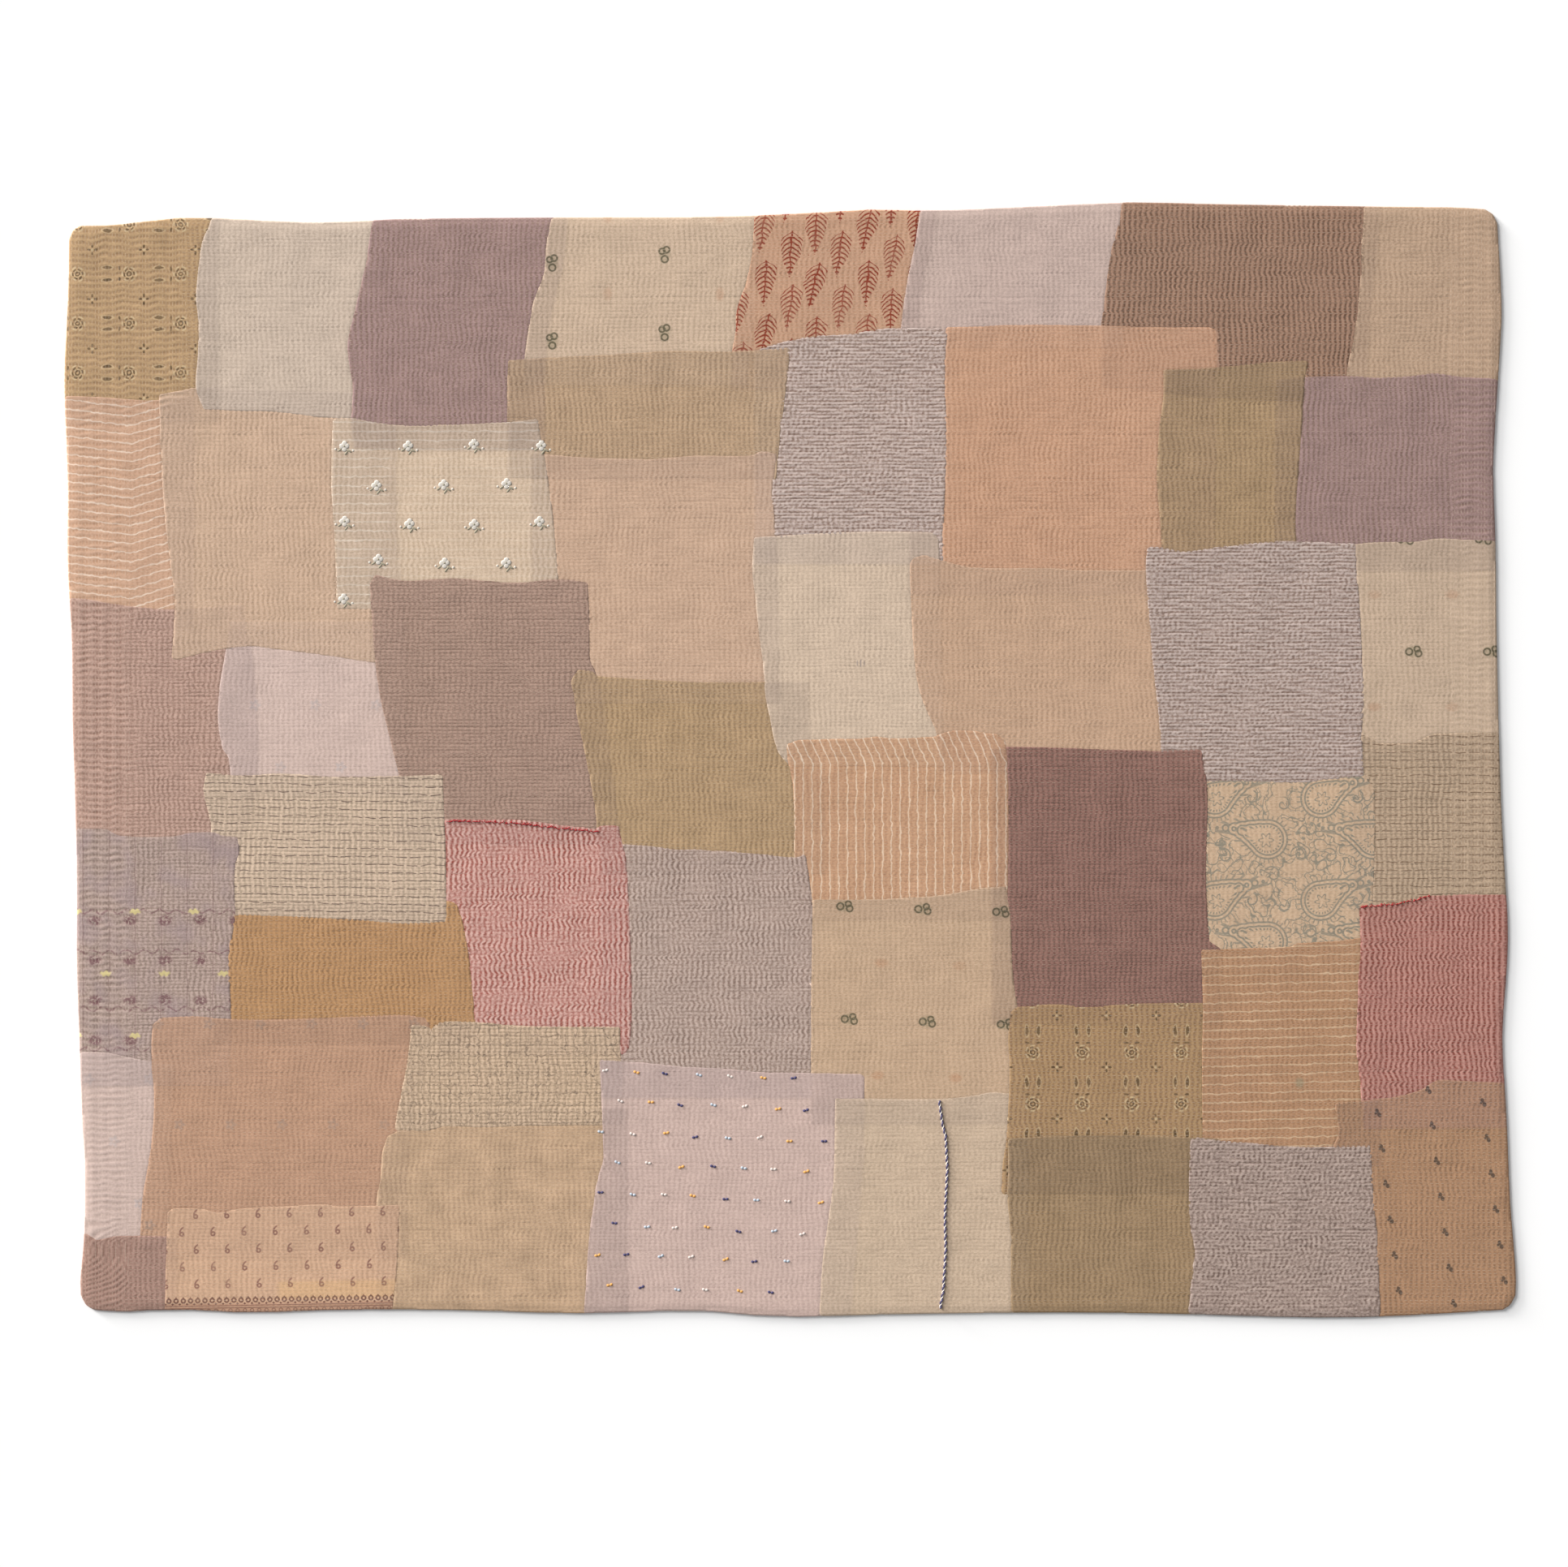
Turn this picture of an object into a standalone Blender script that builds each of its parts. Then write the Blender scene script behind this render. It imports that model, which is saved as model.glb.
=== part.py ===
"""A hand-quilted patchwork throw of soft old cotton, laid out flat, as one stitched-through body.

The origin is the middle of the underside. +X runs along the long side, +Y along the short side and
+Z up. The underside is flat, the outline is as uneven as hand work leaves it, and the running stitch
is raised in the top face as soft ribs with hollows between them. Sizes are in metres.
"""

import math

import bmesh
import bpy

# The nominal cut, before the stitching pulled its sides in and out.
QUILT_LENGTH = 1.700
QUILT_WIDTH = 1.310
CORNER_PULL = 0.0045

# How thick the layers are: on a rib, along a line of stitches, and at the turned-in edge.
RIB_THICKNESS = 0.0042
STITCHED_THICKNESS = 0.0029
EDGE_THICKNESS = 0.0026
EDGE_ROUND = 0.0013

# The stitch rows run along X. A band at each end is stitched the other way, along Y.
ROW_PITCH = 0.0039
ROWS_PER_RIB = 8
END_BAND_WIDTH = 0.077
END_BAND_RIBS = 3
FIELD_COLUMNS = 30

# Hand work is uneven: rows wander sideways, and some ribs puff up more than others.
ROW_WANDER = 0.0030
RIB_UNEVENNESS = 0.00045

# Each side's bulges: how far along it, from its middle towards +X or +Y, and how far out from the
# nominal line, both in millimetres.
SIDES = {
    "left": {
        "along": (-655, -623, -575, -478, -429, -332, -236, -139, -42, 55, 151, 248, 345, 466, 539, 587, 655),
        "out": (-6, -4, -8, -9, -6, -3, 0, 0, 2, 5, 6, 11, 11, 15, 12, 10, 9),
    },
    "right": {
        "along": (-655, -623, -575, -526, -429, -332, -236, -187, -139, -42, 151, 248, 345, 394, 490, 539, 655),
        "out": (12, 14, 11, 7, 3, -2, 4, 4, 1, -4, -9, -10, -13, -11, -5, -3, -9),
    },
    "bottom": {
        "along": (-850, -797, -749, -652, -555, -410, -265, -120, -23, 122, 316, 461, 558, 655, 752, 850),
        "out": (-1, 2, -1, 3, 0, 0, 4, 1, 8, 5, 3, 5, 8, 9, 5, -1),
    },
    "top": {
        "along": (-850, -797, -749, -700, -555, -458, -265, -71, 26, 122, 171, 316, 413, 510, 703, 800, 850),
        "out": (-19, -18, -12, -9, -15, -11, -9, -8, -4, 1, -1, 5, 9, 7, 4, 3, 0),
    },
}

COTTON_COLOUR = (0.63, 0.44, 0.33, 1.0)
COTTON_ROUGHNESS = 0.93


def clear_scene():
    for obj in list(bpy.data.objects):
        bpy.data.objects.remove(obj)


def bulge(side, along):
    """How far a side stands out from its nominal line, in metres: a smooth curve through its table."""
    stations = [value / 1000 for value in SIDES[side]["along"]]
    outs = [value / 1000 for value in SIDES[side]["out"]]
    along = min(max(along, stations[0]), stations[-1])
    i = max(k for k in range(len(stations) - 1) if stations[k] <= along)

    def slope(k):
        before, after = max(k - 1, 0), min(k + 1, len(stations) - 1)
        return (outs[after] - outs[before]) / (stations[after] - stations[before])

    span = stations[i + 1] - stations[i]
    t = (along - stations[i]) / span
    start_share = 2 * t**3 - 3 * t**2 + 1
    start_pull = (t**3 - 2 * t**2 + t) * span * slope(i)
    end_pull = (t**3 - t**2) * span * slope(i + 1)
    return start_share * outs[i] + (1 - start_share) * outs[i + 1] + start_pull + end_pull


def outline_point(x, y):
    """Where a point of the nominal rectangle lies once the uneven sides have moved it."""
    half_length, half_width = QUILT_LENGTH / 2, QUILT_WIDTH / 2
    to_right, to_top = (x + half_length) / QUILT_LENGTH, (y + half_width) / QUILT_WIDTH
    moved_x = x + to_right * bulge("right", y) - (1 - to_right) * bulge("left", y)
    moved_y = y + to_top * bulge("top", x) - (1 - to_top) * bulge("bottom", x)
    return moved_x, moved_y


def rib_columns():
    """X of the mesh's lines across the quilt, and for each line whether it is a rib of an end band."""
    step = END_BAND_WIDTH / (2 * END_BAND_RIBS)
    half = QUILT_LENGTH / 2
    left_band = [(-half + k * step, k % 2 == 1) for k in range(2 * END_BAND_RIBS)]
    field_step = (QUILT_LENGTH - 2 * END_BAND_WIDTH) / FIELD_COLUMNS
    field = [(-half + END_BAND_WIDTH + k * field_step, False) for k in range(FIELD_COLUMNS + 1)]
    right_band = [(-x, rib) for x, rib in reversed(left_band)]
    return left_band + field + right_band


def rib_rows():
    """Y of the mesh's lines along the quilt: a stitched line and a rib by turns, stitched at both sides."""
    ribs = round(QUILT_WIDTH / (ROW_PITCH * ROWS_PER_RIB))
    step = QUILT_WIDTH / (2 * ribs)
    return [(-QUILT_WIDTH / 2 + k * step, k % 2 == 1) for k in range(2 * ribs + 1)]


def unevenness(x, y):
    """A slow, repeatable ripple between -1 and 1 that makes neighbouring ribs differ."""
    ripple = math.sin(9.1 * x + 23.0 * y) + math.sin(31.0 * x - 7.3 * y + 1.1)
    return (ripple + math.sin(17.0 * x + 51.0 * y + 2.3)) / 3


def top_height(x, y, is_rib):
    if not is_rib:
        return STITCHED_THICKNESS + RIB_UNEVENNESS * unevenness(y, x) / 2
    return RIB_THICKNESS + RIB_UNEVENNESS * unevenness(x, y)


def add_top(bm):
    """The ribbed top face as rows of vertices. Returns the rows."""
    columns, rows = rib_columns(), rib_rows()
    grid = []
    for j, (y, row_is_rib) in enumerate(rows):
        on_side = j in (0, len(rows) - 1)
        line = []
        for i, (x, column_is_rib) in enumerate(columns):
            on_end = i in (0, len(columns) - 1)
            in_band = abs(x) > QUILT_LENGTH / 2 - END_BAND_WIDTH
            wander = 0.0 if on_side or in_band else ROW_WANDER * unevenness(x, 3 * y)
            moved_x, moved_y = outline_point(x, y)
            if on_side and on_end:
                moved_x -= math.copysign(CORNER_PULL, x)
                moved_y -= math.copysign(CORNER_PULL, y)
            height = top_height(x, y, column_is_rib if in_band else row_is_rib)
            if on_side or on_end:
                height = EDGE_THICKNESS
            line.append(bm.verts.new((moved_x, moved_y + wander, height)))
        grid.append(line)
    for j in range(len(grid) - 1):
        for i in range(len(grid[0]) - 1):
            bm.faces.new((grid[j][i], grid[j][i + 1], grid[j + 1][i + 1], grid[j + 1][i]))
    return grid


def rim_of(grid):
    """The top face's outer vertices in order, anticlockwise seen from above."""
    bottom, top = grid[0], grid[-1]
    right = [line[-1] for line in grid[1:-1]]
    left = [line[0] for line in grid[1:-1]]
    return bottom + right + top[::-1] + left[::-1]


def add_loop(bm, rim, outward, height):
    """A copy of the rim, moved out from the quilt by that much, at that height."""
    count = len(rim)
    loop = []
    for k, vertex in enumerate(rim):
        run = rim[(k + 1) % count].co - rim[k - 1].co
        length = math.hypot(run.x, run.y)
        x = vertex.co.x + outward * run.y / length
        y = vertex.co.y - outward * run.x / length
        loop.append(bm.verts.new((x, y, height)))
    return loop


def join_loops(bm, upper, lower):
    for k in range(len(upper)):
        after = (k + 1) % len(upper)
        bm.faces.new((upper[k], lower[k], lower[after], upper[after]))


def centre_on_origin(bm):
    """Moves the body so that the origin is the middle of its box's underside."""
    for axis in (0, 1):
        places = [vertex.co[axis] for vertex in bm.verts]
        middle = (min(places) + max(places)) / 2
        for vertex in bm.verts:
            vertex.co[axis] -= middle


def quilt_mesh():
    """The whole body: ribbed top, rounded turned-in edge and flat underside."""
    bm = bmesh.new()
    rim = rim_of(add_top(bm))
    nose = add_loop(bm, rim, EDGE_ROUND, EDGE_THICKNESS / 2)
    foot = add_loop(bm, rim, 0.0, 0.0)
    join_loops(bm, rim, nose)
    join_loops(bm, nose, foot)
    bm.faces.new(foot[::-1])
    centre_on_origin(bm)
    bmesh.ops.recalc_face_normals(bm, faces=bm.faces)
    mesh = bpy.data.meshes.new("quilt")
    bm.to_mesh(mesh)
    bm.free()
    mesh.shade_smooth()
    mesh.set_sharp_from_angle(angle=math.radians(60))
    return mesh


def cotton():
    material = bpy.data.materials.new("quilt_cotton")
    material.use_nodes = True
    shader = material.node_tree.nodes["Principled BSDF"]
    shader.inputs["Base Color"].default_value = COTTON_COLOUR
    shader.inputs["Roughness"].default_value = COTTON_ROUGHNESS
    shader.inputs["Metallic"].default_value = 0.0
    return material


def build():
    clear_scene()
    quilt = bpy.data.objects.new("quilt", quilt_mesh())
    quilt.data.materials.append(cotton())
    bpy.context.scene.collection.objects.link(quilt)


build()
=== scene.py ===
# %% [markdown]
# A hand-stitched patchwork throw, laid out flat. On the real thing a maker lays old cotton saris in
# layers, covers them with overlapping patches, and sews through everything in close rows of running
# stitch. The thread pulls the cloth in, so the whole face is puckered into small ridges and hollows.
# The plan of this file: read the fixed frame, lay out one lattice of stitches over the whole quilt, cut
# each patch from that lattice, dye, print and embroider the patches, and light them for the camera.

# %% Load the frame
import math
from collections import namedtuple
from functools import reduce

import bpy
import numpy as np
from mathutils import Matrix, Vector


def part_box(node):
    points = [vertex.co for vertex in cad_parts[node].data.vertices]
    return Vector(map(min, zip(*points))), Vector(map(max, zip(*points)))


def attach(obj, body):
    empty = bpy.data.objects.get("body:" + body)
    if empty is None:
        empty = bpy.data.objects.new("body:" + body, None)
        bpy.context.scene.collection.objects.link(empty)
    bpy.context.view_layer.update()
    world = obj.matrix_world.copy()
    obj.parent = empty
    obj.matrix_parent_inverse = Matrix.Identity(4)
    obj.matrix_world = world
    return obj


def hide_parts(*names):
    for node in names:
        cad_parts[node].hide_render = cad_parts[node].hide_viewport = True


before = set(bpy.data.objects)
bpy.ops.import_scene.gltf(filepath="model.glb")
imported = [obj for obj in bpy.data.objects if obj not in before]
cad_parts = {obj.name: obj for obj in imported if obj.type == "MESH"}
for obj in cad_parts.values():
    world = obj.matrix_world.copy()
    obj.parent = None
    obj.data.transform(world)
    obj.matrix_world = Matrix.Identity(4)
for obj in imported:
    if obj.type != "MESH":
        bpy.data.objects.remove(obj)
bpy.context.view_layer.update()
for loaded in bpy.context.selected_objects:
    loaded.select_set(False)

low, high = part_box("quilt")
LENGTH = high.x - low.x
WIDTH = high.y - low.y
MM = 0.001
CM = 0.01
print(f"The quilt measures {LENGTH:.3f} x {WIDTH:.3f} x {high.z - low.z:.4f} m")

# %% [markdown]
# The outline comes from the frame, so the cloth ends exactly where the solid ends. The solid's flat
# underside has points only along its rim. Sorted by their angle around the middle they are the outline.

# %% Read the outline from the frame
SHARP_CORNER = 32
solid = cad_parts["quilt"]
solid_points = np.array([vertex.co for vertex in solid.data.vertices])
rim_points = np.unique(np.round(solid_points[solid_points[:, 2] < 0.05 * MM][:, :2], 6), axis=0)
rim_points = rim_points[np.argsort(np.arctan2(rim_points[:, 1], rim_points[:, 0]))]
print(len(rim_points), "points on the outline")


def smooth_loop(points, per_side):
    """A closed curve through the points, drawn smoothly except where the line turns a sharp corner."""
    points = np.asarray(points, float)
    before, after = np.roll(points, 1, axis=0), np.roll(points, -1, axis=0)
    into, out = points - before, after - points
    across = into[:, 0] * out[:, 1] - into[:, 1] * out[:, 0]
    turn = np.degrees(np.abs(np.arctan2(across, (into * out).sum(1))))
    sharp = turn > SHARP_CORNER
    slope = (after - before) / 2
    places = []
    for k in range(len(points)):
        n = (k + 1) % len(points)
        start, end = points[k], points[n]
        leave = (end - start) if sharp[k] else slope[k]
        arrive = (end - start) if sharp[n] else slope[n]
        limit = np.linalg.norm(end - start)
        leave = leave * min(1.0, limit / (np.linalg.norm(leave) + 1e-9))
        arrive = arrive * min(1.0, limit / (np.linalg.norm(arrive) + 1e-9))
        for t in np.linspace(0, 1, per_side, endpoint=False):
            share = 2 * t**3 - 3 * t**2 + 1
            pull = (t**3 - 2 * t**2 + t) * leave + (t**3 - t**2) * arrive
            places.append(share * start + (1 - share) * end + pull)
    return np.array(places)


def distance_to_loop(x, y, loop):
    """How far each place lies from a closed line, in metres: negative inside it, positive outside."""
    shape = x.shape
    px, py = x.ravel(), y.ravel()
    nearest = np.full(px.shape, 1e9)
    inside = np.zeros(px.shape, bool)
    for (ax, ay), (bx, by) in zip(loop, np.roll(loop, -1, axis=0)):
        dx, dy = bx - ax, by - ay
        t = np.clip(((px - ax) * dx + (py - ay) * dy) / (dx * dx + dy * dy + 1e-18), 0, 1)
        nearest = np.minimum(nearest, (px - ax - t * dx) ** 2 + (py - ay - t * dy) ** 2)
        crosses = (ay > py) != (by > py)
        if crosses.any():
            reach = ax + (py - ay) * dx / (dy if dy else 1e-18)
            inside ^= crosses & (px < reach)
    return (np.sqrt(nearest) * np.where(inside, -1, 1)).reshape(shape)


# %% [markdown]
# The stitch lattice. Every patch is cut from one lattice of points, because the rows of stitches run
# straight on from patch to patch. A row of points lies on each line of stitches and one between two
# lines. Along a row, points alternate between the top of a pucker and the hollow beside it. The hand's
# unevenness is a few slow sine waves and seeded noise, so the result is the same each run.

# %% Lay out the lattice
ROW_PITCH = 4.0 * MM
STITCH_PITCH = 6.2 * MM
BAND_RIDGE_PITCH = 7.3 * MM
END_BAND = 78 * MM
SPILL = 3 * MM

hand = np.random.default_rng(11)
columns = math.ceil((LENGTH + 2 * SPILL) / (STITCH_PITCH / 2))
rows = math.ceil((WIDTH + 2 * SPILL) / (ROW_PITCH / 2))
lattice_i, lattice_j = np.meshgrid(np.arange(columns), np.arange(rows))
plain_x = (lattice_i - (columns - 1) / 2) * STITCH_PITCH / 2
plain_y = (lattice_j - (rows - 1) / 2) * ROW_PITCH / 2
print(f"{rows} x {columns} points in the lattice")

WAVES_PER_OCTAVE = 5
WAVE_WEIGHT, WAVE_SPREAD = 0.45, 2.2


def slow_noise(x, y, size, seed, octaves=2):
    """A smooth, repeatable unevenness from -1 to 1, with bumps about as wide as size, in metres."""
    pick = np.random.default_rng(seed)
    total, weight = 0.0, 0.0
    for octave in range(octaves):
        scale = size / 2**octave
        for _ in range(WAVES_PER_OCTAVE):
            angle = pick.uniform(0, 2 * math.pi)
            phase = pick.uniform(0, 2 * math.pi)
            stretch = pick.uniform(0.7, 1.4)
            run = (x * math.cos(angle) + y * math.sin(angle)) * 2 * math.pi / (scale * 2 * stretch)
            total = total + np.sin(run + phase) / 2**octave
            weight += WAVE_WEIGHT / 2**octave
    return np.clip(total / (weight * WAVE_SPREAD), -1, 1)


# %% [markdown]
# The cloths. Each kind of cloth has its colour, the colour that shows in its hollows, how sheer it is
# and how the stitching puckers it. The hollow colour is partly painted shade, the shade that falls into
# the hollows of the puckers, and partly the darker threads of a loose weave. Thin muslin hardly puckers
# and shows what lies under it. Loose, thick weaves rise in strong wavy ridges. Depths are in millimetres,
# and colours are as on a screen.

# %% Name the cloths
Cloth = namedtuple("Cloth", "colour hollow sheer row ridge zigzag fray")
CLOTHS = {
    "ochre_block": Cloth("BA9B76", "A08160", 0.10, 0.08, 0.22, 1.00, 0.0),
    "brown_block": Cloth("AB8C68", "8E6F50", 0.10, 0.08, 0.26, 1.00, 0.0),
    "cream_muslin": Cloth("D0BDAC", "BDAA99", 0.17, 0.15, 0.32, 0.90, 0.0),
    "ivory_muslin": Cloth("D3BDA7", "C0AA95", 0.22, 0.14, 0.29, 0.90, 0.0),
    "mauve_muslin": Cloth("A68A86", "8B7067", 0.06, 0.14, 0.43, 0.90, 0.0),
    "cream_buti": Cloth("CFB69F", "BBA38B", 0.17, 0.14, 0.32, 0.90, 0.0),
    "tan_buti": Cloth("C6A98E", "B4977B", 0.20, 0.11, 0.28, 0.90, 0.0),
    "fern_print": Cloth("C49C82", "B48B6F", 0.15, 0.06, 0.36, 1.00, 0.0),
    "blush_muslin": Cloth("C7B0A6", "B49E95", 0.22, 0.14, 0.32, 0.90, 0.0),
    "brown_cotton": Cloth("A3826E", "755847", 0.03, 0.14, 0.61, 1.10, 0.0),
    "tan_muslin": Cloth("BDA189", "A78B73", 0.14, 0.15, 0.36, 0.95, 0.0),
    "olive_muslin": Cloth("BDA083", "A2866A", 0.22, 0.12, 0.43, 0.95, 0.0),
    "deep_olive": Cloth("BD9F7C", "A18463", 0.22, 0.12, 0.43, 0.95, 0.0),
    "grey_fleck": Cloth("C6B4AC", "876F64", 0.02, 0.23, 0.19, 1.15, 0.8),
    "peach_muslin": Cloth("C89F84", "B4886B", 0.12, 0.14, 0.39, 0.95, 0.0),
    "peach_stripe": Cloth("CBA68D", "BB9378", 0.12, 0.12, 0.22, 1.00, 0.0),
    "orange_stripe": Cloth("C59D7E", "B38768", 0.20, 0.12, 0.24, 0.95, 0.2),
    "amber_stripe": Cloth("B58D6E", "9E7657", 0.08, 0.09, 0.26, 0.95, 0.2),
    "sand_muslin": Cloth("CEB098", "BA9C83", 0.16, 0.12, 0.43, 1.05, 0.0),
    "silver_flower": Cloth("D6BFA8", "C1A990", 0.24, 0.08, 0.20, 1.00, 0.0),
    "rose_tan": Cloth("CBAC94", "B99880", 0.19, 0.14, 0.32, 0.95, 0.0),
    "cocoa_cotton": Cloth("B09384", "886D5F", 0.05, 0.20, 0.20, 1.20, 0.0),
    "rosewood_cotton": Cloth("BF9F91", "937365", 0.05, 0.18, 0.26, 1.25, 0.0),
    "shell_muslin": Cloth("D3BBB1", "C1A99F", 0.24, 0.12, 0.25, 0.85, 0.0),
    "purple_dash": Cloth("D3BBA4", "A8937F", 0.08, 0.20, 0.26, 0.70, 0.8),
    "brown_dash": Cloth("BBA38B", "947E68", 0.06, 0.18, 0.31, 0.70, 0.4),
    "grey_embroidered": Cloth("BDA69C", "8F7A70", 0.04, 0.18, 0.27, 1.00, 0.6),
    "ochre_cotton": Cloth("BD936A", "A27A54", 0.05, 0.17, 0.58, 0.95, 0.0),
    "red_weave": Cloth("D6AFA4", "9C544A", 0.12, 0.09, 0.44, 1.60, 0.8),
    "red_rib": Cloth("BB8B80", "864A40", 0.02, 0.06, 0.52, 1.60, 0.8),
    "grey_weave": Cloth("C1ACA1", "8C756A", 0.07, 0.12, 0.36, 1.60, 0.7),
    "warm_tan": Cloth("C5A48A", "B29177", 0.15, 0.10, 0.39, 1.05, 0.0),
    "walnut_cotton": Cloth("957166", "74534A", 0.02, 0.26, 0.40, 0.80, 0.2),
    "paisley_net": Cloth("C9AD91", "B99C80", 0.12, 0.10, 0.25, 0.90, 0.0),
    "tick_tan": Cloth("AE886A", "957257", 0.46, 0.08, 0.49, 1.00, 0.0),
    "dusty_rose": Cloth("C0997F", "AC856C", 0.19, 0.13, 0.32, 0.95, 0.0),
    "dark_check": Cloth("D3B89D", "A88F76", 0.06, 0.21, 0.30, 0.90, 1.0),
    "small_paisley": Cloth("D3AE91", "BF997D", 0.12, 0.10, 0.23, 0.90, 0.0),
    "cedar_cotton": Cloth("AE8D80", "8F6F62", 0.04, 0.11, 0.37, 1.00, 0.0),
    "cloudy_sand": Cloth("C5A789", "B29377", 0.14, 0.13, 0.32, 0.90, 0.0),
    "dotted_pink": Cloth("CEB5AB", "BCA299", 0.27, 0.10, 0.25, 0.90, 0.0),
    "cream_braid": Cloth("CCB59D", "B8A18A", 0.20, 0.12, 0.23, 1.00, 0.0),
    "lilac_weave": Cloth("B6A298", "7A665D", 0.02, 0.14, 0.24, 1.15, 0.7),
}


def linear(code, factor=1.0):
    """A screen colour such as C8B9B2 as linear light, times a factor."""
    parts = [int(code[k : k + 2], 16) / 255 for k in (0, 2, 4)]
    return np.array([(p / 12.92 if p <= 0.04045 else ((p + 0.055) / 1.055) ** 2.4) * factor for p in parts])


# How far the puckers line up from row to row, from 0 to 1, where it isn't as usual.
USUALLY_ALIGNED = 0.8
ALIGNED = {
    "red_weave": 0.65,
    "grey_weave": 0.65,
    "rosewood_cotton": 0.8,
    "cream_braid": 0.55,
    "ochre_block": 0.9,
    "brown_block": 0.9,
    "amber_stripe": 0.8,
    "orange_stripe": 0.7,
    "tick_tan": 0.7,
    "grey_embroidered": 0.7,
    "brown_cotton": 0.9,
    "brown_dash": 0.9,
    "purple_dash": 0.8,
    "dark_check": 0.8,
    "grey_fleck": 0.1,
    "lilac_weave": 0.05,
    "walnut_cotton": 0.95,
}
# The stitches of these run across the end bands too.
UNBANDED = ["red_rib", "tick_tan"]
print(len(CLOTHS), "kinds of cloth")
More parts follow.
